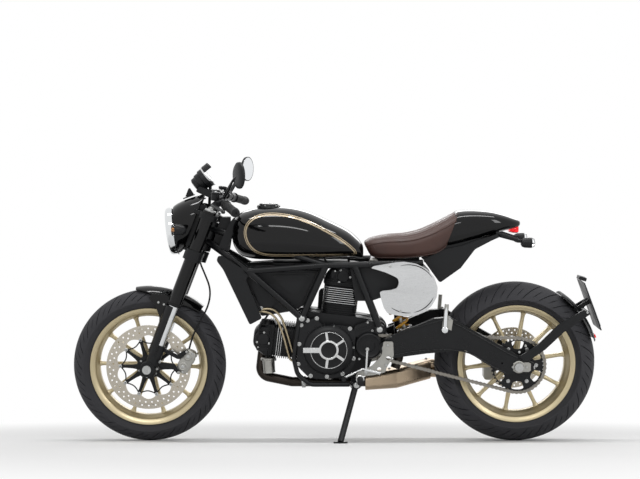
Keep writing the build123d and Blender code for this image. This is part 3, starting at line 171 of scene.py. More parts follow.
class Draft:
    """One piece in the making, upright and in millimetres."""

    def __init__(self):
        self.mesh = bmesh.new()

    def face(self, corners):
        """Add one face, unless its corners fall together."""
        if len(set(corners)) > 2:
            self.mesh.faces.new(corners)

    def loft(self, rings, caps=True):
        """Join rings of the same number of places into a skin."""
        rows = [[self.mesh.verts.new(place) for place in ring] for ring in rings]
        count = len(rows[0])
        for one, two in zip(rows, rows[1:]):
            for i in range(count):
                j = (i + 1) % count
                self.face((one[i], one[j], two[j], two[i]))
        if caps:
            self.face(rows[0][::-1])
            self.face(rows[-1])
        return self

    def turned(self, centre, axis, profile, count=48, loop=False):
        """Revolve a profile of (radius, along) about an axis; a loop closes on itself."""
        axis = axis.normalized()
        one = axis.orthogonal().normalized()
        two = axis.cross(one)
        spokes = [one * cos(tau * i / count) + two * sin(tau * i / count) for i in range(count)]
        return self.loft([[centre + axis * along + spoke * max(radius, 0.01) for spoke in spokes]
            for radius, along in (list(profile) + list(profile[:1]) if loop else profile)], caps=not loop)

    def rod(self, start, end, radius, count=20):
        """A round bar with its ends taken off."""
        length = (end - start).length
        edge = min(0.6, radius / 3, length / 3)
        return self.turned(start, end - start, ((radius - edge, 0), (radius, edge), (radius, length - edge),
            (radius - edge, length)), count)

    def pipe(self, points, radius, count=14, steps=6):
        """A round tube along a smooth line; radius may change from end to end."""
        line = flowing(points, steps) if steps > 1 else [Vector(p) for p in points]
        radii = radius if isinstance(radius, (tuple, list)) else (radius, radius)
        normal = None
        rings = []
        for i, place in enumerate(line):
            way = (line[min(i + 1, len(line) - 1)] - line[max(i - 1, 0)]).normalized()
            normal = way.orthogonal() if normal is None else normal - way * normal.dot(way)
            normal.normalize()
            other = way.cross(normal)
            size = radii[0] + (radii[1] - radii[0]) * i / (len(line) - 1)
            rings.append([place + (normal * cos(tau * k / count) + other * sin(tau * k / count)) * size
                for k in range(count)])
        return self.loft(rings)

    def plate(self, outline, near, far, holes=(), bulge=0):
        """A flat piece with a side-view outline between two distances across the bike."""
        loops = [[V(x, z, 0) for x, z in loop] for loop in (outline, *holes)]
        flat = [place for loop in loops for place in loop]
        middle = sum(flat, Vector()) / len(flat)
        reach = max((place - middle).length for place in flat)
        sheets = [[self.mesh.verts.new((p.x, side + copysign(bulge,
            side) * (1 - ((p - middle).length / reach) ** 2), p.y)) for p in flat] for side in (near, far)]
        for corners in tessellate_polygon(loops):
            self.face([sheets[0][i] for i in corners])
            self.face([sheets[1][i] for i in corners][::-1])
        first = 0
        for loop in loops:
            for i in range(len(loop)):
                a, b = first + i, first + (i + 1) % len(loop)
                self.face((sheets[0][a], sheets[0][b], sheets[1][b], sheets[1][a]))
            first += len(loop)
        return self

    def block(self, centre, along, upward, length, height, width):
        """A box whose length and height lie along two directions and whose width is across."""
        along, upward = along.normalized() * length / 2, upward.normalized() * height / 2
        outward = along.cross(upward).normalized() * width / 2
        return self.loft([[centre + outward * s + along * a + upward * b
            for a, b in ((-1, -1), (1, -1), (1, 1), (-1, 1))] for s in (-1, 1)])

    def bolt(self, centre, axis, radius, height):
        """A socket-head screw, its recess left open."""
        return self.turned(centre, axis, ((radius, -1), (radius, height * 0.7), (radius * 0.84, height),
            (radius * 0.52, height), (radius * 0.48, height * 0.4), (0, height * 0.4)), 12)

    def bolts(self, places, side, radius, height):
        """Screws at (along, up) places that face outwards at a distance across."""
        for x, z in places:
            self.bolt(V(x, side, z), V(0, copysign(1, side), 0), radius, height)
        return self

    def hexagon(self, centre, axis, radius, height):
        """A hexagon nut or bolt head on its washer."""
        self.turned(centre, axis, ((radius * 1.25, -0.5), (radius * 1.25, 1.2), (radius * 0.9, 1.3)), 20)
        return self.turned(centre, axis, ((radius, 1), (radius, height * 0.86), (radius * 0.86, height),
            (0, height)), 6)

    def other_side(self):
        """Add the mirror image on the other side of the bike."""
        mesh = self.mesh
        copy = bmesh.ops.duplicate(mesh, geom=mesh.verts[:] + mesh.edges[:] + mesh.faces[:])["geom"]
        for item in copy:
            if isinstance(item, bmesh.types.BMVert):
                item.co.y = -item.co.y
        bmesh.ops.reverse_faces(mesh, faces=[item for item in copy if isinstance(item, bmesh.types.BMFace)])
        return self

    def done(self, name, body, finish, stands_for="", edge=0, levels=0):
        """Set the piece on the bike, let it ride on its body and give it its finish."""
        bmesh.ops.remove_doubles(self.mesh, verts=self.mesh.verts, dist=0.015)
        bmesh.ops.recalc_face_normals(self.mesh, faces=self.mesh.faces)
        self.mesh.transform(BIKE)
        for part in self.mesh.faces:
            part.smooth = True
        mesh = bpy.data.meshes.new(name)
        self.mesh.to_mesh(mesh)
        self.mesh.free()
        mesh.materials.append(bpy.data.materials[finish])
        piece = bpy.data.objects.new(name, mesh)
        bpy.context.collection.objects.link(piece)
        if levels:
            skin = piece.modifiers.new("rounding", "SUBSURF")
            skin.levels = skin.render_levels = levels
        elif edge:
            rim = piece.modifiers.new("edges", "BEVEL")
            rim.width = edge / 1000
            rim.segments = 2
            rim.limit_method = "ANGLE"
            rim.angle_limit = CRISP
            rim.harden_normals = True
        else:
            mesh.set_sharp_from_angle(angle=CRISP)
        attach(piece, body)
        if stands_for:
            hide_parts(stands_for)
        return piece


# Finishes


def linear(colour):
    """An sRGB hex colour as linear light."""
    parts = [int(colour[i:i + 2], 16) / 255 for i in (1, 3, 5)]
    return tuple(p / 12.92 if p <= 0.04045 else ((p + 0.055) / 1.055) ** 2.4 for p in parts) + (1,)


def shade(colour, share, lift=0):
    """A hex colour as linear light, made darker or lighter."""
    return tuple(min(value * share + lift, 1) for value in linear(colour)[:3]) + (1,)


def node(tree, kind, settings=(), **sockets):
    """Add a node; underscores in socket names stand for spaces, and an output is linked."""
    made = tree.nodes.new(kind)
    for name, value in dict(settings).items():
        setattr(made, name, value)
    for name, value in sockets.items():
        socket = made.inputs[int(name[1:]) if name[0] == "n" and name[1:].isdigit() else name.replace("_",
            " ")]
        if isinstance(value, bpy.types.NodeSocket):
            tree.links.new(value, socket)
        else:
            socket.default_value = value
    return made


def surface(name, **sockets):
    """A new material with its shader, its node tree and its places in metres."""
    made = bpy.data.materials.new(name)
    made.use_nodes = True
    tree = made.node_tree
    shader = tree.nodes["Principled BSDF"]
    for socket, value in sockets.items():
        shader.inputs[socket.replace("_", " ")].default_value = value
    return tree, shader, tree.nodes.new("ShaderNodeTexCoord").outputs["Object"]


def noise(tree, place, scale, detail, **sockets):
    """The grey of a noise at a place."""
    return node(tree, "ShaderNodeTexNoise", Vector=place, Scale=scale, Detail=detail,
        **sockets).outputs["Fac"]


def stretched(tree, place, scale):
    """The places, scaled by three numbers."""
    return node(tree, "ShaderNodeMapping", Vector=place, Scale=scale).outputs[0]


def varied(tree, shader, grey, dark, light, smooth, rough):
    """Let a grey carry the colour and the roughness between two ends."""
    tone = node(tree, "ShaderNodeMix", {"data_type": "RGBA"}, Factor=grey, n6=dark, n7=light)
    tree.links.new(tone.outputs[2], shader.inputs["Base Color"])
    dull = node(tree, "ShaderNodeMapRange", Value=grey, From_Min=0.3, From_Max=0.7, To_Min=smooth,
        To_Max=rough)
    tree.links.new(dull.outputs[0], shader.inputs["Roughness"])


def bumped(tree, shader, grey, distance, strength):
    """Let a grey raise the surface by a distance in metres."""
    bump = node(tree, "ShaderNodeBump", Height=grey, Distance=distance, Strength=strength)
    tree.links.new(bump.outputs[0], shader.inputs["Normal"])


def grained(name, colour, metallic, roughness, grain, depth, drift, patch, spread=0.08, **sockets):
    """A finish with a fine grain (mm) standing depth (mm) proud, and slow patches of wear."""
    tree, shader, place = surface(name, Metallic=metallic, Roughness=roughness, **sockets)
    varied(tree, shader, noise(tree, place, 1000 / patch, 3), shade(colour, 1 - drift),
        shade(colour, 1 + drift, drift * 0.01), max(roughness - spread, 0.02), min(roughness + spread, 1))
    if depth:
        bumped(tree, shader, noise(tree, place, 1000 / grain, 2), depth / 1000, 0.6)


def brushed(name, colour, roughness, spacing, length):
    """A metal ground in one direction: fine lines along it, glints across it."""
    tree, shader, place = surface(name, Metallic=1, Roughness=roughness)
    lines = noise(tree, stretched(tree, place, (1000 / length, 1000 / spacing, 1000 / spacing)), 1, 2)
    varied(tree, shader, lines, shade(colour, 0.86), linear(colour), roughness * 0.7, roughness * 1.35)
    bumped(tree, shader, lines, 0.00005, 0.5)


def leather(name, colour):
    """Full-grain cowhide, dyed and waxed: pebbles of 2 mm, creases between them, a soft shine."""
    tree, shader, place = surface(name, Roughness=0.46, IOR=1.5, Specular_IOR_Level=0.35)
    pebbles = node(tree, "ShaderNodeTexVoronoi", Vector=place, Scale=520, Randomness=0.9)
    height = node(tree, "ShaderNodeMath", {"operation": "MULTIPLY_ADD"},
        n0=noise(tree, place, 90, 5, Roughness=0.6), n1=1.4, n2=pebbles.outputs["Distance"])
    bumped(tree, shader, height.outputs[0], 0.00035, 0.5)
    varied(tree, shader, noise(tree, place, 11, 3), shade(colour, 0.62), shade(colour, 1.35), 0.36, 0.56)


def lens(name, colour, roughness, **sockets):
    """A clear or tinted moulded lens."""
    tree, shader, place = surface(name, Base_Color=linear(colour), Transmission_Weight=1, IOR=1.49,
        Roughness=roughness, **sockets)
    bumped(tree, shader, noise(tree, place, 300, 1), 0.0001, 0.3)


def lay_out_finishes(looks):
    """Make every finish of the motorcycle."""
    # Two-pack lacquer over primer, wet-flatted and polished: deep black with a hard clear gloss.
    grained("lacquer_black_polished", looks.lacquer_colour, 0, 0.06, 1.2, 0, 0.05, 200, 0.03,
        Specular_IOR_Level=0.3)
    # Baked polyester powder on steel tube: satin black with a faint orange peel of 2 mm.
    grained("powder_coat_satin_black", looks.frame_colour, 0, 0.3, 2, 0.06, 0.12, 80, Specular_IOR_Level=0.26)
    # Sand-cast aluminium, painted dull black: a coarse skin of about 1 mm.
    grained("cast_aluminium_black", looks.engine_colour, 0, 0.42, 1.1, 0.16, 0.22, 35,
        Specular_IOR_Level=0.25)
    # Sand-cast aluminium left bare and bead-blasted: grey, dull, with soft glints.
    grained("cast_aluminium_bare", "#A3A29D", 1, 0.38, 0.9, 0.1, 0.16, 30)
    # Aluminium cut on a mill or lathe: bright, with fine tool lines half a millimetre apart.
    brushed("machined_aluminium", "#D9DADA", 0.24, 0.5, 12)
    # Sheet aluminium, brushed along the bike and clear-anodised.
    brushed("brushed_aluminium_plate", looks.plate_colour, 0.3, 0.35, 40)
    # Cast aluminium wheels in a bronze metallic paint under satin clear.
    grained("wheel_paint_bronze", looks.wheel_colour, 0.72, 0.34, 0.7, 0.02, 0.08, 70, 0.05,
        Coat_Weight=0.35, Coat_Roughness=0.22)
    # Stainless brake disc, face-ground: pale grey-gold with fine lines.
    brushed("ground_stainless_disc", "#C4BDB0", 0.3, 0.4, 4)
    # Hard chrome on steel: mirror bright.
    grained("chrome_plated_steel", "#DEE0E1", 1, 0.06, 1, 0, 0.03, 120, 0.02)
    # Zinc-nickel plated steel fasteners: grey, a little dull.
    grained("zinc_plated_steel", "#B4B5B4", 1, 0.3, 0.6, 0.03, 0.12, 12)
    # Carbon-black tyre rubber, moulded: nearly black, matt, with a dry bloom in slow patches.
    grained("tyre_rubber", "#232324", 0, 0.5, 0.8, 0.08, 0.25, 45, Specular_IOR_Level=0.2)
    # Soft moulded rubber of grips, seals and hoses.
    grained("moulded_rubber", "#111112", 0, 0.55, 0.6, 0.05, 0.2, 25, Specular_IOR_Level=0.25)
    # Injection-moulded ABS with a spark-eroded texture of half a millimetre: dark and dry.
    grained("abs_textured_black", looks.trim_colour, 0, 0.42, 0.7, 0.06, 0.1, 60, Specular_IOR_Level=0.25)
    leather("leather_brown", looks.seat_colour)
    # Gold enamel line drawn by hand under the clear lacquer.
    grained("enamel_line_gold", looks.line_colour, 0.25, 0.3, 1, 0, 0.1, 25, Coat_Weight=0.6,
        Coat_Roughness=0.05)
    # Stainless exhaust, rolled and blued to straw by the heat.
    grained("stainless_straw", "#B9A68E", 1, 0.33, 1.5, 0.02, 0.25, 55)
    # Steel header pipe after heat: brown and dull.
    grained("steel_heat_brown", "#38332F", 1, 0.4, 1.5, 0.04, 0.35, 40)
    # Bronze braid over the oil lines, woven of 1 mm strands.
    grained("braided_bronze", "#A99C82", 1, 0.36, 1, 0.15, 0.2, 6)
    # Chain steel, rolled and oiled.
    grained("oiled_chain_steel", "#8B8780", 1, 0.34, 0.8, 0.04, 0.25, 10)
    # Spring steel in yellow powder coat.
    grained("spring_yellow", looks.spring_colour, 0, 0.32, 1.5, 0.03, 0.06, 30, Coat_Weight=0.4)
    # Silvered glass.
    grained("mirror_glass", "#E8EAEC", 1, 0.03, 1, 0, 0.02, 100, 0.01)
    # Black dial print and its white figures.
    grained("dial_black", "#101113", 0, 0.45, 0.6, 0, 0.1, 20)
    grained("dial_white", "#E4E6E6", 0, 0.5, 0.6, 0, 0.05, 20)
    # Moulded polycarbonate and acrylic lenses; the red lens also carries a faint painted glow of its own.
    lens("clear_lens", "#F4F6F7", 0.03)
    lens("red_lens", "#C50E16", 0.08, Emission_Color=linear("#E01018"), Emission_Strength=0.25)
    # Amber bulb behind the clear indicator lens.
    grained("amber_bulb", "#D98A2B", 0, 0.3, 1, 0, 0.05, 10)


NODES_OF_FINISH = {"powder_coat_satin_black":
    "frame_left frame_right head_tube swingarm_left swingarm_right swingarm_beam "
    "stand_bracket side_stand handlebar rear_sprocket",
    "cast_aluminium_black": "engine_block cylinders cylinder_heads engine_covers oil_cooler lower_yoke "
    "upper_yoke fork_feet hand_controls disc_carrier",
    "abs_textured_black": "side_panels undertray rear_lamps plate_holder front_indicators gauge mirrors",
    "lacquer_black_polished": "fuel_tank tail_cowl filler_cap fork_outer_tubes front_mudguard nose_fairing",
    "zinc_plated_steel": "swingarm_shaft rear_axle shock_absorber front_axle",
    "cast_aluminium_bare": "rear_caliper rider_footrests passenger_footrests front_caliper",
    "machined_aluminium": "foot_controls", "chrome_plated_steel": "fork_stanchions headlamp",
    "tyre_rubber": "front_tyre rear_tyre", "wheel_paint_bronze": "front_wheel rear_wheel",
    "ground_stainless_disc": "front_disc rear_disc", "moulded_rubber": "grips brake_hose",
    "brushed_aluminium_plate": "side_covers", "steel_heat_brown": "exhaust_pipes",
    "stainless_straw": "muffler", "oiled_chain_steel": "chain", "leather_brown": "seat"}


def dress_solids():
    """Give the solids that are shown as they are their finishes."""
    finish_of = {name: finish for finish, names in NODES_OF_FINISH.items() for name in names.split()}
    for name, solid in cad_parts.items():
        for slot in solid.material_slots:
            slot.material = bpy.data.materials[finish_of[name]]


# The finishes that most pieces share.
STEEL, PLASTIC = "zinc_plated_steel", "abs_textured_black"
POWDER, CAST = "powder_coat_satin_black", "cast_aluminium_black"


# Wheels


def tread_step(looks, reach, group, side):
    """How deep a groove of the tread is at an angle off the crown."""
    low, high = ((7, 60), (34, 52))[0 if (group == 0) == (side < 0) else 1]
    fade = min(max((reach - low) / 5, 0), max((high - reach) / 6, 0), 1)
    return looks.tread_depth * 1000 * fade


def tread_tyre(looks, name, body, axle, radius, width, crown, bead):
    """A radial road tyre whose mesh columns follow its swept grooves."""
    pitches = 26
    columns = (0, 0.018, 0.07, 0.088, 0.2, 0.35, 0.5, 0.512, 0.556, 0.568, 0.7, 0.85)
    half = width / 2 - 0.5
    limit = degrees(asin(half / crown))
    angles = [limit * t for t in (1, 0.94, 0.86, 0.8, 0.72, 0.66, 0.58, 0.5, 0.42, 0.34, 0.26, 0.18, 0.12,
        0.07, 0)]
    rows = [(bead - 1, 213, 0), (bead - 1, 230, 0), (bead + 1.5, 233, 0), (bead + 2, 236.5, 0),
        (bead + 3.4, 238, 0)]
    shoulder = radius - crown + sqrt(crown**2 - half**2)
    rows.append((half * 0.35 + (bead + 4) * 0.65, 238 + 0.35 * (shoulder - 238), 0))
    rows.append((half * 0.75 + (bead + 4) * 0.25, 238 + 0.72 * (shoulder - 238), 0))
    for angle in angles:
        turn = radians(angle)
        rows.append((crown * sin(turn), radius - crown + crown * cos(turn), angle))
    rows += [(-side, height, -angle) for side, height, angle in reversed(rows[:-1])]
    draft = Draft()
    rings = []
    for side, height, angle in rows:
        ring = []
        reach = abs(angle)
        for pitch in range(pitches):
            for part, share in enumerate(columns):
                group = 0 if part < 6 else 1
                sunk = part % 6 in (1, 2)
                depth = tread_step(looks, reach * 62 / limit, group, angle) if sunk and reach else 0
                turn = tau * (pitch + share) / pitches + 0.3 * (reach / limit) ** 1.3
                deep = height - depth * cos(radians(angle))
                wide = side - depth * sin(radians(angle))
                ring.append(axle + ray(turn, deep, wide))
        rings.append(ring)
    draft.loft(rings, caps=False)
    draft.done(name, body, "tyre_rubber", name)


def bronze_wheel(name, body, axle, half, depth, phase, hub):
    """A cast wheel: rolled flanges, a deep barrel, ten waisted spokes and a turned hub."""
    draft = Draft()
    well = depth / 2
    profile = [(230.2, -half), (229, -half - 1.2), (225, -half - 1), (219, -half + 3), (211, -half + 6),
        (204, -half * 0.72), (198.5, -well - 3), (196, -well), (195, 0)]
    inner = [(r, -a) for r, a in profile[-2::-1]]
    outer = [(228.5, half - 5), (216, half - 7), (212, half * 0.6), (206, half * 0.3), (206, -half * 0.3),
        (212, -half * 0.6), (216, -half + 7), (228.5, -half + 5)]
    draft.turned(axle, -LEFT, profile + inner + outer, 120, loop=True)
    for turn in around(10, phase):
        out = ray(turn)
        along = V(-sin(turn), 0, cos(turn))
        rings = [hoop(axle + out * place, along, LEFT, wide, deep, deep, 3.4, 16)
            for place, wide, deep in flow([(34, 15, well * 1.05), (56, 12.2, well), (90, 10.4, well * 0.88),
            (135, 8.4, well * 0.8), (172, 7.4, well * 0.8), (188, 8.6, well * 0.92), (198, 14, well * 1.05)],
            3)]
        draft.loft(rings)
    edge = hub / 2
    draft.turned(axle, -LEFT, ((13.5, -edge), (30, -edge), (36, -edge + 2), (39, -edge + 12),
        (47, -well - 4), (50, -well + 3), (50, well - 3), (47, well + 4), (39, edge - 12), (36, edge - 2),
        (30, edge), (13.5, edge)), 60, loop=True)
    draft.done(name, body, "wheel_paint_bronze", name)


def scalloped_disc(name, body, axle, face, outer, inner, scallop, rows):
    """A floating brake disc, drilled in rows and scalloped inside."""
    draft = Draft()
    edge = []
    for i in range(180):
        turn = tau * i / 180
        wave = inner + scallop * (0.5 - 0.5 * cos(10 * turn)) ** 0.6
        edge.append((axle.x + wave * cos(turn), axle.z + wave * sin(turn)))
    holes = [edge]
    for radius, count, offset, size in rows:
        for turn in around(count, offset):
            holes.append(circle_outline(axle.x + radius * cos(turn), axle.z + radius * sin(turn), size, 10))
    draft.plate(circle_outline(axle.x, axle.z, outer, 144), face, face + 5, holes)
    return draft.done(name, body, "ground_stainless_disc", edge=0.5)


class BIKE_OT_tyres(bpy.types.Operator):
    """Two radial tyres with swept grooves cut in their tread."""

    bl_idname = "cafe_racer.tyres"
    bl_label = "Tyres"

    def execute(self, context):
        looks = context.scene.cafe_racer
        tread_tyre(looks, "front_tyre", "front_wheel_set", FRONT_AXLE, 300, 120, 62, 47)
        tread_tyre(looks, "rear_tyre", "rear_wheel_set", REAR_AXLE, 315, 180, 95, 71)
        return {"FINISHED"}


class BIKE_OT_wheels(bpy.types.Operator):
    """Two bronze ten-spoke wheels, their brake discs and the rear chain wheel."""

    bl_idname = "cafe_racer.wheels"
    bl_label = "Wheels and discs"

    def execute(self, context):
        bronze_wheel("front_wheel", "front_wheel_set", FRONT_AXLE, 52, 30, -2, 88)
        bronze_wheel("rear_wheel", "rear_wheel_set", REAR_AXLE, 76, 36, 8, 120)
        disc = scalloped_disc("front_disc", "front_wheel_set", FRONT_AXLE, -60.5, 165, 112, 14,
            ((152, 36, 0, 3.6), (138, 36, 5, 3.6)))
        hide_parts("front_disc")
        carrier = Draft()
        for turn in around(10, -2):
            after = turn + radians(36)
            tip = FRONT_AXLE + ray(turn, 111, -58)
            root = FRONT_AXLE + ray(turn, 44, -56)
            way = (tip - root).normalized()
            carrier.loft([hoop(root + way * reach, way.cross(LEFT), LEFT, wide, 3.5, 3.5, 3, 12)
                for reach, wide in ((-6, 12), (20, 7.5), (48, 6), (62, 8), (68, 5))])
            bow = [FRONT_AXLE + ray(a, r, -58) for r, a in ((110, turn), (98, turn + 0.16),
                (94, (turn + after) / 2), (98, after - 0.16), (110, after))]
            carrier.pipe(bow, 2.6, 8, 3)
        carrier.turned(FRONT_AXLE, LEFT, ((20, 44), (46, 44), (48, 47), (46, 60), (34, 62), (20, 62)), 48,
            loop=True)
        carrier.done("disc_carrier", "front_wheel_set", CAST, "disc_carrier", edge=0.6)
        studs = Draft()
        for turn in around(10, -2):
            studs.turned(FRONT_AXLE + ray(turn, 111, -60.5), LEFT, ((7, -0.5), (7, 1.4), (5.6, 2.2),
                (3.6, 2.2), (3.2, 0.8), (0, 0.8)), 16)
        for turn in around(6, 20):
            studs.bolt(FRONT_AXLE + ray(turn, 38, -61.5), LEFT, 4.5, 4)
        studs.done("front_disc_bobbins", "front_wheel_set", STEEL)
        rear = scalloped_disc("rear_disc", "rear_wheel_set", REAR_AXLE, 85.5, 122, 80, 8,
            ((112, 30, 0, 3.4), (100, 30, 6, 3.4)))
        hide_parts("rear_disc")
        bell = Draft()
        for turn in around(5):
            way = ray(turn)
            bell.loft([hoop(REAR_AXLE + way * reach - LEFT * 88, way.cross(LEFT), LEFT, wide, 2.4, 2.4, 3,
                12) for reach, wide in ((30, 14), (55, 9), (86, 9), (92, 6))])
            bell.bolt(REAR_AXLE + way * 84 - LEFT * 90.2, -LEFT, 5, 4)
        bell.turned(REAR_AXLE, -LEFT, ((20, 60), (44, 60), (44, 88), (40, 90.5), (20, 90.5)), 48, loop=True)
        bell.done("rear_disc_bell", "rear_wheel_set", CAST, edge=0.5)
        self.chain_wheel()
        return {"FINISHED"}

    def chain_wheel(self):
        """The black rear chain wheel with its windows, nuts and drum."""
        windows = []
        for turn in around(6, 30):
            out = Vector((cos(turn), sin(turn)))
            along = Vector((-out.y, out.x))
            window = [(out * r + along * w) for r, w in ((66, -17), (90, -25), (95, -14), (96, 0), (95, 14),
                (90, 25), (66, 17), (62, 0))]
            windows.append([(REAR_AXLE.x + p.x, REAR_AXLE.z + p.y) for p in map(Vector,
                rounded(window, 5, 2))])
        edge = []
        for i in range(42):
            for share, reach in ((0, 98.3), (0.2, 99), (0.36, 103.4), (0.44, 105.4), (0.56, 105.4),
                (0.64, 103.4), (0.8, 99)):
                turn = tau * (i + share) / 42
                edge.append((REAR_AXLE.x + reach * cos(turn), REAR_AXLE.z + reach * sin(turn)))
        wheel = Draft().plate(edge, -109.5, -102.5, windows)
        wheel.turned(REAR_AXLE, LEFT, ((20, 60), (56, 60), (58, 64), (58, 98), (52, 106), (40, 109.8),
            (20, 109.8)), 60, loop=True)
        wheel.done("rear_sprocket", "rear_wheel_set", POWDER, "rear_sprocket", edge=0.5)
        nuts = Draft()
        for turn in around(6):
            nuts.hexagon(REAR_AXLE + ray(turn, 72, -109.5), LEFT, 6, 6)
        nuts.done("sprocket_nuts", "rear_wheel_set", STEEL)


# Bodywork

TANK_ROWS = ((-390, 806, 842, 34, 0.5), (-388, 786, 856, 62, 0.5), (-380, 764, 878, 88, 0.48),
    (-362, 740, 898, 108, 0.46), (-335, 727, 909, 122, 0.44), (-290, 720, 920, 137, 0.42),
    (-225, 719, 925, 147, 0.40), (-158, 720, 921, 149, 0.38), (-86, 723, 903, 146, 0.36),
    (-10, 727, 869, 135, 0.36), (60, 730, 834, 112, 0.38), (98, 727, 804, 90, 0.4),
    (116, 724, 782, 76, 0.42), (121, 732, 770, 60, 0.45))


def tank_draft():
    """The petrol tank's pressed shell."""
    rings = [shell_hoop(x, low, high, half, 0, waist, 2.5, 48) for x, low, high, half,
        waist in flow(TANK_ROWS, 5)]
    return Draft().loft(rings)


def stripe_line():
    """The teardrop that the painted line follows, closed, in side view."""
    return flowing([V(x, 0, z) for x, z in ((-232, 746), (-150, 746), (-60, 746), (30, 746), (78, 746),
        (86, 750), (78, 764), (40, 796), (-20, 833), (-90, 868), (-160, 891), (-232, 899), (-285, 891),
        (-320, 868), (-333, 836), (-325, 797), (-300, 766), (-268, 751), (-232, 746))], 6)


class BIKE_OT_tank(bpy.types.Operator):
    """The fuel tank, its filler cap and the gold line round its flanks."""

    bl_idname = "cafe_racer.tank"
    bl_label = "Fuel tank"

    def execute(self, context):
        looks = context.scene.cafe_racer
        draft = tank_draft()
        tree = BVHTree.FromBMesh(draft.mesh)
        draft.done("fuel_tank", "chassis", "lacquer_black_polished", "fuel_tank", levels=1)
        line = stripe_line()
        stripes = Draft()
        for offset, width in ((0, looks.stripe_width * 1000), (-6.4, looks.stripe_width * 560)):
            rings = []
            for i, place in enumerate(line[:-1]):
                way = (line[(i + 1) % (len(line) - 1)] - line[i - 1 if i else -2]).normalized()
                inward = V(way.z, 0, -way.x)
                ring = []
                for reach in (offset - width / 2, offset + width / 2):
                    spot = place - inward * reach
                    hit, normal, _, _ = tree.ray_cast(V(spot.x, -400, spot.z), -LEFT)
                    if hit is None:
                        raise RuntimeError("the painted line runs off the tank")
                    if normal.dot(LEFT) < 0:
                        normal = -normal
                    ring += [hit + normal * 0.9, hit - normal * 1.5]
                rings.append([ring[0], ring[2], ring[3], ring[1]])
            stripes.loft(rings + rings[:1], caps=False)
        stripes.other_side().done("tank_line", "chassis", "enamel_line_gold")
        cap = Draft()
        centre = V(-248, 0, 925)
        cap.turned(centre, V(0.02, 0, 1), ((46, -14), (46, 2), (44.5, 4), (41, 4.6), (40, 3), (38, 3),
            (37, 9), (35, 11.4), (14, 12), (13, 10.6), (0, 10.6)), 64)
        cap.done("filler_cap", "chassis", POWDER, "filler_cap")
        bolts = Draft()
        for turn in around(6, 12):
            bolts.bolt(centre + V(42.6 * cos(turn), 42.6 * sin(turn), 3.6), TOP, 2.6, 2.2)
        bolts.block(centre + V(0, 0, 11.6), REAR, TOP, 22, 1.2, 5)
        bolts.done("filler_cap_bolts", "chassis", STEEL)
        return {"FINISHED"}


SEAT_ROWS = ((136, 748, 772, 34, -0.5), (140, 736, 782, 56, -0.55), (152, 727, 794, 74, -0.5),
    (176, 722, 806, 90, -0.3), (222, 722, 816, 106, -0.05), (278, 724, 820, 120, 0),
    (330, 728, 832, 127, 0.06), (378, 733, 854, 125, 0.14), (418, 740, 880, 117, 0.24),
    (446, 752, 900, 109, 0.34), (457, 764, 907, 105, 0.38), (460, 780, 902, 98, 0.38))


def seat_ring(row, channels, depth):
    """One ring of the seat: a crowned top with sewn channels over upright skirts."""
    x, low, high, half, lean = row
    ring = shell_hoop(x, low, high, half, lean, 0.42, 3.1, 96)
    middle = low + 0.42 * (high - low)
    for place in ring:
        rise = (place.z - middle) / max(high - middle, 1)
        if rise > 0.35:
            inset = min((rise - 0.35) / 0.2, 1)
            for channel in channels:
                gap = abs(place.y - channel * half / 120) / 7
                if gap < 1:
                    place.z -= depth * inset * (1 - gap) ** 1.5
    return ring


class BIKE_OT_seat(bpy.types.Operator):
    """The brown leather seat: moulded foam, sewn channels and piping."""

    bl_idname = "cafe_racer.seat"
    bl_label = "Seat"

    def execute(self, context):
        looks = context.scene.cafe_racer
        rows = flow(SEAT_ROWS, 6)
        depth = looks.channel_depth * 1000
        rings = []
        for row in rows:
            fade = min(max((row[0] - 215) / 60, 0), 1)
            rings.append(seat_ring(row, (-84, -56, -28, 0, 28, 56, 84), depth * fade))
        draft = Draft().loft(rings)
        seat = draft.done("seat", "chassis", "leather_brown", "seat", levels=1)
        piping = Draft()
        for share, radius in ((0.60, 2.2), (-0.72, 2.4)):
            line = []
            for x, low, high, half, lean in rows[6:-4]:
                middle = low + 0.42 * (high - low)
                lift = share * (high - middle if share > 0 else middle - low)
                wide = half * (1 - abs(share) ** 3.1) ** (1 / 3.1)
                line.append(V(x + lean * lift, -wide - 0.6, middle + lift))
            piping.pipe(line, radius, 8, 1)
        # One more seam runs down the flank.
        x, low, high, half, lean = rows[16]
        middle = low + 0.42 * (high - low)
        line = []
        for t in range(12):
            rise = 0.58 - 1.28 * t / 11
            lift = rise * (high - middle if rise > 0 else middle - low)
            wide = half * (1 - abs(rise) ** 3.1) ** (1 / 3.1)
            line.append(V(x + lean * lift + 10 * t / 11, -wide - 0.4, middle + lift))
        piping.pipe(line, 1.6, 8, 1)
        piping.other_side().done("seat_piping", "chassis", "leather_brown")
        return {"FINISHED"}


COWL_ROWS = ((450, 778, 905, 100, 0.40), (458, 768, 909, 106, 0.40), (496, 774, 912, 104, 0.34),
    (556, 795, 911, 97, 0.22), (618, 817, 905, 86, 0.12), (674, 832, 892, 70, 0.04), (708, 840, 880, 53, 0),
    (728, 848, 872, 34, 0), (734, 856, 866, 18, 0))


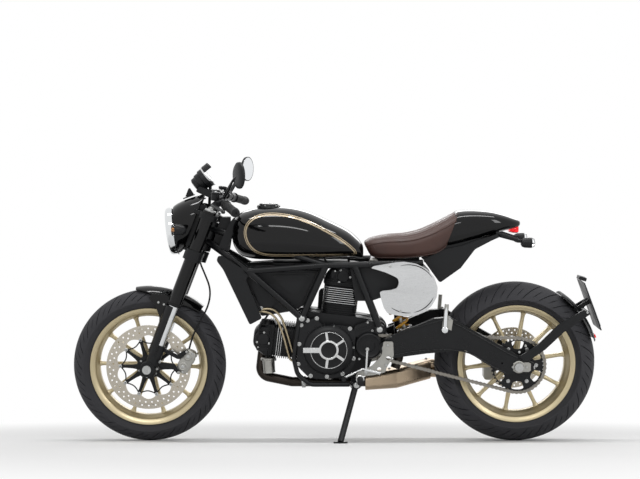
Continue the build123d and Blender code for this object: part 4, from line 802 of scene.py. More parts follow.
class BIKE_OT_tail(bpy.types.Operator):
    """The tail cowl, the panel under it, the rear lamp and the indicators."""

    bl_idname = "cafe_racer.tail"
    bl_label = "Tail and rear lamps"

    def execute(self, context):
        rings = [shell_hoop(x, low, high, half, lean, 0.4, 2.8, 40) for x, low, high, half,
            lean in flow(COWL_ROWS, 5)]
        Draft().loft(rings).done("tail_cowl", "chassis", "lacquer_black_polished", "tail_cowl", levels=1)
        panel = Draft()
        outline = [(352, 724), (360, 712), (413, 638), (421, 637), (497, 692), (511, 722), (553, 765),
            (604, 793), (648, 812), (636, 822), (560, 800), (500, 778), (430, 764)]
        for side in SIDES:
            panel.plate(rounded(outline, 6, 3), side * 88, side * 80, bulge=4)
        panel.loft([[V(a, -half, b), V(a, half, b), V(c, half, d), V(c, -half, d)]
            for half, a, b, c, d in ((82, 416, 640, 380, 700), (82, 497, 690, 470, 740),
            (82, 553, 764, 540, 790), (76, 646, 812, 640, 824))])
        panel.done("undertray", "chassis", PLASTIC, "undertray", edge=2)
        # The tail lamp's red lens carries a faint painted glow.
        Draft().loft([hoop(V(x, 0, z), RIGHT, TOP, half, low, high, 3.2, 32)
            for x, z, half, low, high in ((690, 838, 40, 12, 12), (706, 838, 40, 16, 14),
            (721, 839, 37, 18, 14), (727, 840, 32, 16, 12))]).done("tail_lamp", "chassis", "red_lens",
            edge=1.5)
        bodies, lenses, bulbs = Draft(), Draft(), Draft()
        for side in SIDES:
            root, tip = V(636, side * 62, 824), V(745, side * 118, 792)
            bodies.loft([hoop(root.lerp(tip, t), V(0.2, 1, 0).normalized(), TOP, wide, deep, deep, 3, 16)
                for t, wide, deep in ((0, 7, 12), (0.3, 7, 10), (0.8, 6, 7), (1, 6, 6))])
            bodies.turned(tip + V(-14, 0, 0), REAR, ((8, -6), (15, -2), (19, 8), (20, 26), (20, 36),
                (18.5, 36.5), (18, 33), (14, 12), (0, 10)), 32)
            lenses.turned(tip + V(-14, 0, 0), REAR, ((18.6, 33), (18.6, 40), (15, 45.5), (8, 48), (0, 48.6)),
                32)
            bulbs.turned(tip + V(-14, 0, 0), REAR, ((5, 10), (6, 22), (4.5, 30), (0, 32)), 16)
        bodies.done("rear_indicators", "chassis", PLASTIC, "rear_lamps")
        lenses.done("rear_indicator_lenses", "chassis", "clear_lens")
        bulbs.done("rear_indicator_bulbs", "chassis", "amber_bulb")
        return {"FINISHED"}


COVER_OUTLINE = ((147, 697), (158, 705), (200, 712), (240, 719), (275, 722), (322, 714), (362, 693),
    (391, 661), (404, 622), (400, 583), (379, 548), (347, 524), (312, 513), (277, 511), (240, 516),
    (211, 523), (197, 545), (187, 578), (181, 604), (192, 610), (225, 613), (247, 620), (255, 636),
    (252, 656), (238, 665), (205, 680), (170, 691))


class BIKE_OT_side_covers(bpy.types.Operator):
    """The oval side plates in brushed aluminium, left blank, with their black inner lines."""

    bl_idname = "cafe_racer.side_covers"
    bl_label = "Oval side plates"

    def execute(self, context):
        plates = Draft().plate(rounded(COVER_OUTLINE, 6, 3), -145, -148, bulge=3)
        for x, z in ((222, 704), (262, 530)):
            plates.rod(V(x, -118, z), V(x, -147, z), 6)
        plates.other_side().done("side_covers", "chassis", "brushed_aluminium_plate", "side_covers", edge=0.8)
        lines = Draft()
        for start, stop in ((28, 108), (-78, -20), (-130, -84)):
            inner, outer = [], []
            for i in range(25):
                turn = radians(start + (stop - start) * i / 24)
                taper = 1.8 * sin(pi * i / 24) ** 0.5
                for row, reach in ((inner, -taper), (outer, taper)):
                    row.append((291 + (103 + reach) * cos(turn), 617 + (93 + reach) * sin(turn)))
            lines.plate(inner + outer[::-1], -148, -149.6)
        lines.other_side().done("side_cover_lines", "chassis", PLASTIC)
        Draft().bolts(((222, 704), (262, 530)), -148.5, 5.5, 3.5).other_side().done("side_cover_screws",
            "chassis", STEEL)
        return {"FINISHED"}


# Engine

TILT = radians(6.7)
REAR_UP = V(sin(TILT), 0, cos(TILT))
FRONT_UP = V(-REAR_UP.z, 0, REAR_UP.x)
DECK = 132
FIN_PITCH = 8.2
FIN_COUNT = 13
OIL_ROUTES = (((-281, 534), (-228, 534), (-196, 500), (-176, 440), (-148, 345), (-128, 345)),
    ((-291, 528), (-240, 518), (-212, 490), (-190, 430), (-163, 330), (-128, 330)))


def on_barrel(up, along, forward=0, side=0):
    """A place on a cylinder: along it from the crank, forward across it, and across the bike."""
    return CRANK + up * along + V(-up.z, 0, up.x) * forward + RIGHT * side


def finned_barrel(castings, edges, up, bright):
    """A barrel of thin fins, some of them with machined edges."""
    forward = V(-up.z, 0, up.x)
    castings.loft([hoop(on_barrel(up, DECK + lift), forward, RIGHT, 62, 78, 78, 6, 40)
        for lift in (-4, FIN_COUNT * FIN_PITCH)])
    for fin in range(FIN_COUNT):
        base = DECK + fin * FIN_PITCH + 2.4
        rings = []
        for lift, grow in ((0, -1.2), (0.6, 0), (2.6, 0), (3.4, -1.2)):
            rings.append(hoop(on_barrel(up, base + lift), forward, RIGHT, 68 + grow, 84 + grow, 84 + grow, 7,
                40))
        castings.loft(rings)
        if fin in bright:
            edges.loft([hoop(on_barrel(up, base + 0.9 + rise), forward, RIGHT, 68.35, 84.35, 84.35, 7, 40)
                for rise in (0, 1.6)])


def cylinder_head(castings, bright, up):
    """A two-valve head: rocker boxes, a cam bearing cap, its ports, fins and screws."""
    forward = V(-up.z, 0, up.x)
    base = DECK + FIN_COUNT * FIN_PITCH
    castings.loft([hoop(on_barrel(up, base + lift), forward, RIGHT, half, deep, deep, square, 40)
        for lift, half, deep, square in ((1, 69, 68, 6), (14, 70, 68, 6), (34, 68, 66, 5), (48, 60, 60, 4.5),
        (66, 48, 54, 4), (78, 34, 44, 3.5), (82, 22, 34, 3))])
    for fin in range(3):
        castings.loft([hoop(on_barrel(up, base + 5 + fin * 8.2 + rise), forward, RIGHT, 73, 73, 73, 6, 40)
            for rise in (0, 3.2)])
    for side in SIDES:
        axis = RIGHT * side
        cam = on_barrel(up, base + 42, 0, side * 54)
        castings.turned(cam, axis, ((33, 0), (33, 10), (31, 13), (24, 14), (22, 17), (0, 18)), 40)
        for angle in (30, 150, 270):
            turn = radians(angle)
            bright.bolt(cam + (up * cos(turn) + forward * sin(turn)) * 27 + axis * 13.5, axis, 4.6, 4)
        for reach in (-34, 34):
            cover = on_barrel(up, base + 40, reach, side * 40)
            castings.loft([hoop(cover + axis * lift, up, forward, tall, deep, deep, 4, 24)
                for lift, tall, deep in ((0, 26, 16), (20, 26, 16), (25, 22, 12))])
            for rise in (-19, 19):
                bright.bolt(cover + up * rise + axis * 24, axis, 3.6, 3)
    castings.turned(on_barrel(up, base + 34, 0, -30) - forward * 52, -forward,
        ((30, 0), (30, 8), (26, 14), (24, 22), (20, 22)), 32)


class BIKE_OT_engine(bpy.types.Operator):
    """The L-twin: crankcase, barrels, heads, covers and their screws."""

    bl_idname = "cafe_racer.engine"
    bl_label = "Engine"

    def execute(self, context):
        barrels, edges = Draft(), Draft()
        finned_barrel(barrels, edges, REAR_UP, range(5, 13))
        finned_barrel(barrels, edges, FRONT_UP, range(9, 12))
        barrels.done("cylinders", "chassis", CAST, "cylinders")
        edges.done("fin_edges", "chassis", "machined_aluminium")
        heads, screws = Draft(), Draft()
        cylinder_head(heads, screws, REAR_UP)
        cylinder_head(heads, screws, FRONT_UP)
        heads.done("cylinder_heads", "chassis", CAST, "cylinder_heads", edge=1.2)
        screws.done("head_screws", "chassis", STEEL)
        self.crankcase()
        self.left_covers()
        self.right_covers()
        self.small_parts()
        return {"FINISHED"}

    def crankcase(self):
        """The cast halves with a joint flange, ribs, and a finned sump."""
        case = Draft()
        front, rear = ([on_barrel(up, DECK, ahead).xz for ahead in (72, -72)] for up in (FRONT_UP, REAR_UP))
        outline = rounded([*front, (-132, 484), (-100, 524), *rear, (201, 480), (214, 448), (160, 352),
            (136, 280), (72, 260), (-80, 260)], 26, 5)
        case.plate(outline, -88, 88)
        case.plate([(x + (x - 20) * 0.02, z + (z - 390) * 0.02) for x, z in outline], -6, 6)
        for side in SIDES:
            for centre in (V(-118, 0, 502), V(182, 0, 459)):
                case.turned(centre, RIGHT * side, ((20, 40), (20, 110), (18, 112), (9, 112), (8, 104),
                    (0, 104)), 28)
            for x in (-60, -30, 0, 30, 60, 90):
                case.block(V(x, side * 46, 259), REAR, TOP, 5, 12, 76)
        case.turned(V(210, 0, 386), LEFT, ((30, -56), (30, 56)), 40)
        case.block(V(176, 0, 388), REAR, TOP, 70, 60, 112)
        case.done("engine_block", "chassis", CAST, "engine_block", edge=2)

    def left_covers(self):
        """The alternator cover with its machined ring and bars, and the sprocket cover."""
        cover, bright = Draft(), Draft()
        face = -126
        plate = [(-100, 488), (-66, 505), (-38, 470), (30, 474), (74, 466), (92, 440), (84, 384), (90, 340),
            (78, 300), (40, 276), (-30, 262), (-90, 268), (-138, 316), (-134, 400), (-138, 460)]
        cover.plate(rounded(plate, 16, 4), -86, face)
        ring = V(-14, face, 378)
        cover.turned(ring, LEFT, ((99, -6), (97, 3), (90, 9), (80, 14), (74, 16), (68.5, 16), (66, 13.6),
            (40, 13.6), (36, 16), (32, 14), (0, 12.6)), 96)
        for turn in range(0, 360, 20):
            if turn in (160, 180, 200):
                continue
            out = ray(radians(turn))
            cover.block(ring + out * 96 + LEFT * 1, out, out.cross(LEFT), 16, 3.2, 8)
        bright.turned(ring, LEFT, ((71.2, 14), (71.2, 16.8), (70.6, 17.4), (69.6, 17.4), (69, 16.6),
            (69, 12)), 96, loop=True)
        bright.turned(ring, LEFT, ((38, 12), (38, 17), (36, 18), (31, 18), (29.6, 16.6), (29.6, 11)), 72,
            loop=True)
        for angle, width in ((98, 9), (34, 9), (-34, 11), (-98, 10)):
            out = ray(radians(angle))
            bright.block(ring + out * 53 + LEFT * 14.6, out, out.cross(LEFT), 32, width, 4.4)
        bright.block(ring + V(-68, 0, 0) + LEFT * 14, REAR, TOP, 62, 20, 6)
        bright.block(ring + V(-68, 0, 0) + LEFT * 17.2, REAR, TOP, 50, 12, 0.8)
        sprocket = V(141, -88, 394)
        cover.turned(sprocket, LEFT, ((53, 26), (53, 38), (49, 46), (44, 48), (40, 45), (24, 45), (22, 47),
            (0, 47)), 64)
        cover.plate(rounded([(84, 470), (150, 492), (186, 470), (176, 430), (120, 420), (84, 430)], 12, 3),
            -88, -122)
        cover.block(V(124, -122, 462), V(1, 0, 0.3), V(-0.3, 0, 1), 62, 5, 8)
        cover.block(V(132, -122, 444), V(1, 0, 0.3), V(-0.3, 0, 1), 54, 5, 8)
        cover.done("engine_left_covers", "chassis", CAST, "engine_covers", edge=1.6)
        bright.done("alternator_trim", "chassis", "machined_aluminium", edge=0.6)
        screws = Draft()
        for x, z in ((-120, 474), (-60, 500), (-96, 492), (5, 466), (68, 460), (77, 386), (82, 344),
            (-21, 273), (-132, 322), (-128, 400), (40, 284), (-84, 276)):
            screws.turned(V(x, face, z), LEFT, ((8, -1), (8, 1.2), (7, 1.6)), 20)
            screws.bolt(V(x, face - 1.4, z), LEFT, 5.2, 5)
        screws.bolts(((136, 484), (154, 452), (104, 342), (176, 360)), -122, 5, 5)
        screws.done("cover_screws", "chassis", STEEL)

    def right_covers(self):
        """The clutch cover and the belt covers on the right."""
        cover, screws = Draft(), Draft()
        outline = [(-112, 470), (-60, 505), (30, 498), (80, 460), (84, 320), (50, 276), (-72, 276),
            (-120, 330)]
        cover.plate(rounded(outline, 26, 5), 86, 126)
        hub = V(29, 126, 364)
        cover.turned(hub, -LEFT, ((86, -4), (84, 6), (78, 13), (70, 16), (64, 16), (61, 13), (30, 13),
            (27, 16), (0, 16)), 72)
        for turn in around(8, 20):
            screws.bolt(hub + ray(turn, 74, 14), -LEFT, 4.8, 4)
        belts = [(-96, 470), (-60, 470), (-52, 590), (64, 616), (84, 600), (60, 480), (-40, 430),
            (-230, 420), (-250, 380), (-240, 340), (-90, 330)]
        cover.plate(rounded(belts, 16, 4), 80, 104)
        screws.bolts(((-40, 570), (60, 590), (-225, 400), (-220, 352), (-80, 450), (-110, 350)), 104, 4.4, 4)
        cover.done("engine_right_covers", "chassis", CAST, edge=1.6)
        screws.done("right_cover_screws", "chassis", STEEL)

    def small_parts(self):
        """Bronze-braided oil lines, the front port stub, banjos, plug leads and a drain plug."""
        lines, nuts = Draft(), Draft()
        for route in OIL_ROUTES:
            run = rounded(route, 24, 6)[4:-3]
            lines.pipe([V(x, -97, z) for x, z in (route[0], *run, route[-1])], 4.6, 12, 1)
            nuts.hexagon(V(route[0][0] + 4, -95, route[0][1]), LEFT, 7.5, 8)
            nuts.rod(V(route[-1][0] - 18, -97, route[-1][1]), V(route[-1][0], -97, route[-1][1]), 6.6, 6)
        lines.done("oil_lines", "chassis", "braided_bronze")
        nuts.done("oil_line_nuts", "chassis", STEEL)
        Draft().turned(V(-250, -30, 324), V(0.08, 0, -1), ((26, -12), (30, -8), (30, -2), (24, 0), (23, 44),
            (24, 50), (20, 50)), 32).hexagon(V(-10, -40, 258), V(0, 0, -1), 11, 9).done("engine_fittings",
            "chassis", "cast_aluminium_bare")
        Draft().pipe([on_barrel(REAR_UP, 300, 10, -60), on_barrel(REAR_UP, 318, 34, -84),
            on_barrel(REAR_UP, 330, 70, -70), on_barrel(REAR_UP, 352, 90, -40)], 4,
            10).pipe([on_barrel(FRONT_UP, 290, -8, -60), on_barrel(FRONT_UP, 300, -46, -82),
            on_barrel(FRONT_UP, 280, -86, -74), V(-214, -60, 560)], 4, 10).done("plug_leads", "chassis",
            "moulded_rubber")


# Front end

GAUGE_OUT = V(0.78, 0, 0.62).normalized()
LAMP = V(-622, 0, 829)
LAMP_AHEAD = V(-0.992, 0, -0.126)
LAMP_SCALE = 1.14
BAR_END = V(-360.4, -388, 926)
BAR_KNEE = V(-439.4, -155, 964.8)
FAIRING_ROWS = ((-535, 868, 21, 118, 99), (-556, 861, 17, 113, 98.5), (-582, 851, 9, 107, 97),
    (-602, 838, -2, 100, 96), (-611, 830, -7, 96, 95), (-612, 829.5, -7, 93, 93), (-603, 836, -2, 95, 92),
    (-582, 850, 9, 103, 93.5), (-536, 868, 21, 114.5, 95.5))
HOSE_ROUTE = ((107.6, -95.8, -74), (183.7, -84.8, -74), (263.2, -99.3, -72), (324.5, -102.5, -68),
    (377.2, -86.6, -66), (421.1, -47.2, -64), (457.4, -10.8, -60), (487.5, 2.9, -56))
HOSE_DIAMETER = 0.007
# How far each fork leg stands from the middle.
FORK_LEG = 98


class BIKE_OT_fork(bpy.types.Operator):
    """The mudguard, seals, caps, pinch bolts and the hose of the front brake."""

    bl_idname = "cafe_racer.fork"
    bl_label = "Fork and mudguard"

    def execute(self, context):
        guard = Draft()
        rings = []
        for step in range(19):
            t = step / 18
            turn = radians(-9.5 + 52 * t)
            radius = 310 - 1.5 * sin(pi * t) + 4 * t
            half = 30 + 38 * sin(min(t / 0.55, 1) * pi / 2) - 16 * max(t - 0.55, 0) / 0.45
            ring = []
            for thick, ways in ((0, range(-10, 11)), (3.6, range(10, -11, -1))):
                for way in ways:
                    side = half * way / 10
                    drop = 74 - sqrt(max(74**2 - side**2, 0))
                    reach = radius + thick - drop
                    ring.append(FRONT_AXLE + V(sin(turn) * reach, side, cos(turn) * reach))
            rings.append(ring)
        guard.loft(rings)
        for side in SIDES:
            arm = [(-712, 570), (-704, 590), (-640, 585), (-626, 560), (-640, 470), (-654, 385), (-674, 390),
                (-680, 440), (-672, 500), (-690, 545)]
            guard.plate(rounded(arm, 12, 4), side * 71, side * 67)
        guard.done("front_mudguard", "steering", "lacquer_black_polished", "front_mudguard", edge=1)
        clips, black = Draft(), Draft()
        for side in SIDES:
            clips.bolts(((-662, 428), (-655, 548), (-676, 556)), side * 71, 5, 4)
            for along in (18, 46):
                clips.bolt(on_fork(along, -6, side * FORK_LEG), RIGHT * side, 5, 30)
            clips.turned(on_fork(660, 20, side * FORK_LEG), UP, ((22, 0), (22, 5), (19, 7), (12, 7),
                (12, 12), (0, 12)), 32)
            clips.turned(on_fork(660, 20, side * FORK_LEG), UP, ((9, 7), (9, 17), (0, 17)), 6)
            black.turned(on_fork(266, 20, side * FORK_LEG), UP, ((20.8, 0), (25, 0.5), (26.4, 3), (26.4, 9),
                (28, 10), (28, 14), (26.6, 15)), 40)
            for along in (466, 488):
                clips.bolt(on_fork(along, -14, side * 72), RIGHT * -side, 4.4, 3)
            clips.bolt(on_fork(638, -14, side * 72), RIGHT * -side, 4.4, 3)
        clips.turned(on_fork(650, 0, 0), UP, ((24, 0), (24, 3), (20, 4), (20, 11), (17, 12), (11, 12),
            (11, 8), (0, 8)), 32)
        clips.done("fork_bolts", "steering", STEEL)
        guards = Draft()
        for side in SIDES:
            rings = []
            for along in (64, 70, 255, 262):
                ring = []
                for reach, turns in ((32.5, range(-12, 13)), (29, range(12, -13, -1))):
                    if along in (64, 262):
                        reach = (reach + 30.75) / 2
                    for step in turns:
                        turn = radians(90 * step / 12)
                        ring.append(on_fork(along, 20 + reach * cos(turn),
                            side * FORK_LEG + reach * sin(turn)))
                rings.append(ring)
            guards.loft(rings)
        guards.done("fork_protectors", "steering", POWDER)
        black.done("fork_seals", "steering", "moulded_rubber")
        self.hose(context)
        return {"FINISHED"}

    def hose(self, context):
        """The rubber hose from the caliper to the yoke."""
        line = bpy.data.curves.new("brake_hose", "CURVE")
        line.dimensions = "3D"
        places = [BIKE @ on_fork(*place) for place in HOSE_ROUTE]
        run = line.splines.new("NURBS")
        run.points.add(len(places) - 1)
        for point, place in zip(run.points, places):
            point.co = (*place, 1)
        run.order_u = 3
        run.use_endpoint_u = True
        run.resolution_u = 10
        line.bevel_depth = HOSE_DIAMETER / 2
        line.bevel_resolution = 5
        line.use_fill_caps = True
        line.materials.append(bpy.data.materials["moulded_rubber"])
        hose = bpy.data.objects.new("brake_hose", line)
        context.collection.objects.link(hose)
        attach(hose, "steering")
        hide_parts("brake_hose")
        ends = Draft()
        for first, second in ((0, 1), (-1, -2)):
            root, on = on_fork(*HOSE_ROUTE[first]), on_fork(*HOSE_ROUTE[second])
            ends.rod(root - (on - root).normalized() * 2, root + (on - root).normalized() * 20, 5.2, 16)
            ends.hexagon(root + V(0, 2, 0), LEFT, 6.5, 8)
        ends.done("hose_unions", "steering", STEEL)


class BIKE_OT_front_caliper(bpy.types.Operator):
    """The four-piston brake caliper on its fork foot."""

    bl_idname = "cafe_racer.front_caliper"
    bl_label = "Front caliper"

    def execute(self, context):
        body, bolts, pads = Draft(), Draft(), Draft()
        centre = V(-571.8, -58, 325.4)
        long = V(0.469, 0, 0.883)
        short = V(0.883, 0, -0.469)
        for inner, outer in ((-64, -86), (-52, -31)):
            body.loft([hoop(V(centre.x, y, centre.z) + short * 3, short, long, wide, tall, tall, 4, 48)
                for y, wide, tall in ((inner, 25, 47), ((inner + outer) / 2, 26, 48),
                (outer * 0.9 + inner * 0.1, 25, 47), (outer, 20, 43))])
        # The bridges join the halves beyond the disc's edge.
        for reach in (13, 40):
            body.block(centre + long * reach + short * 27, long, short, 14, 7, 34)
        for reach in (-22, 22):
            spot = centre + long * reach
            body.turned(V(spot.x, -84, spot.z), LEFT, ((17, 0), (17, 3.5), (15, 5), (12, 5), (11, 3.6),
                (0, 3.6)), 36)
            bolts.hexagon(V(spot.x, -87, spot.z), LEFT, 5, 3)
        for reach in (-41, 41):
            spot = centre + long * reach + short * 10
            bolts.bolt(V(spot.x, -85, spot.z), LEFT, 5, 4)
        for y in (-62.4, -54):
            pads.block(V(centre.x, y, centre.z), long, short, 74, 30, 2.6)
        bracket = Draft()
        for arm in ([(-670, 372), (-660, 384), (-600, 352), (-590, 362), (-566, 374), (-556, 366),
            (-590, 338), (-600, 336)], [(-690, 312), (-686, 326), (-612, 318), (-600, 292), (-590, 282),
            (-600, 276), (-618, 296)]):
            bracket.plate(rounded(arm, 5, 3), -87.5, -95.5)
        bolts.bolt(V(-566, -95.5, 366), LEFT, 5.5, 5)
        bolts.bolt(V(-598, -95.5, 285), LEFT, 5.5, 5)
        bracket.done("caliper_bracket", "steering", CAST, edge=1.2)
        body.done("front_caliper", "steering", "cast_aluminium_bare", "front_caliper", edge=1.6)
        bolts.done("caliper_bolts", "steering", STEEL)
        pads.done("brake_pads", "steering", POWDER)
        return {"FINISHED"}


class BIKE_OT_nose(bpy.types.Operator):
    """The half-bowl fairing, the round headlamp and the front indicators."""

    bl_idname = "cafe_racer.nose"
    bl_label = "Nose and headlamp"

    def execute(self, context):
        bowl = Draft()
        rings = []
        for x, z, tilt, tall, wide in FAIRING_ROWS:
            turn = radians(tilt)
            rings.append(hoop(V(x, 0, z), RIGHT, V(sin(turn), 0, cos(turn)), wide, tall, tall, 2, 56))
        bowl.loft(rings + rings[:1], caps=False)
        bowl.done("nose_fairing", "steering", "lacquer_black_polished", levels=1)
        mounts = Draft()
        for side in SIDES:
            mounts.block(on_fork(640, 68, side * 82), BACK, UP, 26, 16, 26)
            mounts.block(on_fork(486, 60, side * 30), BACK, UP, 46, 14, 24)
        mounts.block(on_fork(693, 72, 0), BACK, UP, 30, 5, 60)
        for side in SIDES:
            mounts.plate(rounded([(-575, 775), (-528, 772), (-474, 905), (-492, 938), (-540, 930),
                (-566, 850)], 14, 3), side * 52, side * 56)
        mounts.done("fairing_brackets", "steering", POWDER, "nose_fairing", edge=1.5)
        Draft().plate(rounded([(-575, 963), (-562, 996), (-556, 997), (-541, 974), (-548, 966)], 4, 3), -2.5,
            2.5).block(V(-560, 0, 964), V(1, 0, 0.35), V(-0.35, 0, 1), 46, 4, 40).done("fairing_fin",
            "steering", PLASTIC, edge=0.8)
        self.headlamp()
        self.indicators()
        return {"FINISHED"}

    def headlamp(self):
        """A bright rim, a bucket, a reflector, a bulb and the domed glass."""
        def turned(draft, profile, count=72, loop=False):
            draft.turned(LAMP, LAMP_AHEAD, [(r * LAMP_SCALE, a * LAMP_SCALE) for r, a in profile], count,
                loop)

        rim = Draft()
        turned(rim, ((80.6, -6), (81.4, 4), (80.8, 11), (78.4, 16), (75, 18), (72.6, 17), (71, 12), (71, 4),
            (74, 0), (75, -6)), 96, loop=True)
        rim.done("headlamp_rim", "steering", "chrome_plated_steel", "headlamp")
        bucket = Draft()
        turned(bucket, ((78, 0), (76, -16), (64, -32), (40, -38), (0, -39)), 64)
        bucket.done("headlamp_bucket", "steering", POWDER)
        bowl = Draft()
        turned(bowl, ((71.5, 11), (66, 2), (54, -12), (38, -23), (20, -29), (14, -30), (13, -26), (0, -26)))
        bowl.done("headlamp_reflector", "steering", "mirror_glass")
        bulb = Draft()
        turned(bulb, ((9, -28), (9.5, -16), (8, -4), (7, 2), (0, 4)), 24)
        turned(bulb, ((12, -2), (13, 2), (10, 8), (0, 9)), 24)
        bulb.done("headlamp_bulb", "steering", "chrome_plated_steel")
        glass = Draft()
        turned(glass, ((71.2, 12), (70.4, 14.5), (56, 18), (36, 20.6), (16, 22), (0, 22.4), (0, 20),
            (16, 19.6), (36, 18.2), (56, 15.6), (70, 11.6)), 96)
        glass.done("headlamp_glass", "steering", "clear_lens")

    def indicators(self):
        """Short stalks with bullet bodies and clear lenses."""
        bodies, lenses, bulbs = Draft(), Draft(), Draft()
        for side in SIDES:
            root = V(-619, side * 140, 843)
            bodies.loft([hoop(V(-594, side * y, 845), REAR, TOP, wide, deep, deep, 2.4, 20)
                for y, wide, deep in ((91, 12, 9), (104, 8, 6.5), (118, 8, 6.5), (128, 11, 9))])
            bodies.turned(root, REAR, ((22, 14), (23.4, 16), (23.4, 22), (22, 34), (18, 48), (11, 57),
                (0, 60)), 40)
            bodies.turned(root, REAR, ((22, 14), (15, 20), (0, 21)), 40)
            lenses.turned(root, REAR, ((22.6, 15), (23.6, 14), (23.6, 8), (20, 2.6), (12, 0.6), (0, 0)), 40)
            bulbs.turned(root, REAR, ((4, 19), (6, 13), (5, 7), (0, 5)), 18)
        bodies.done("front_indicators", "steering", PLASTIC, "front_indicators")
        lenses.done("front_indicator_lenses", "steering", "clear_lens")
        bulbs.done("front_indicator_bulbs", "steering", "amber_bulb")


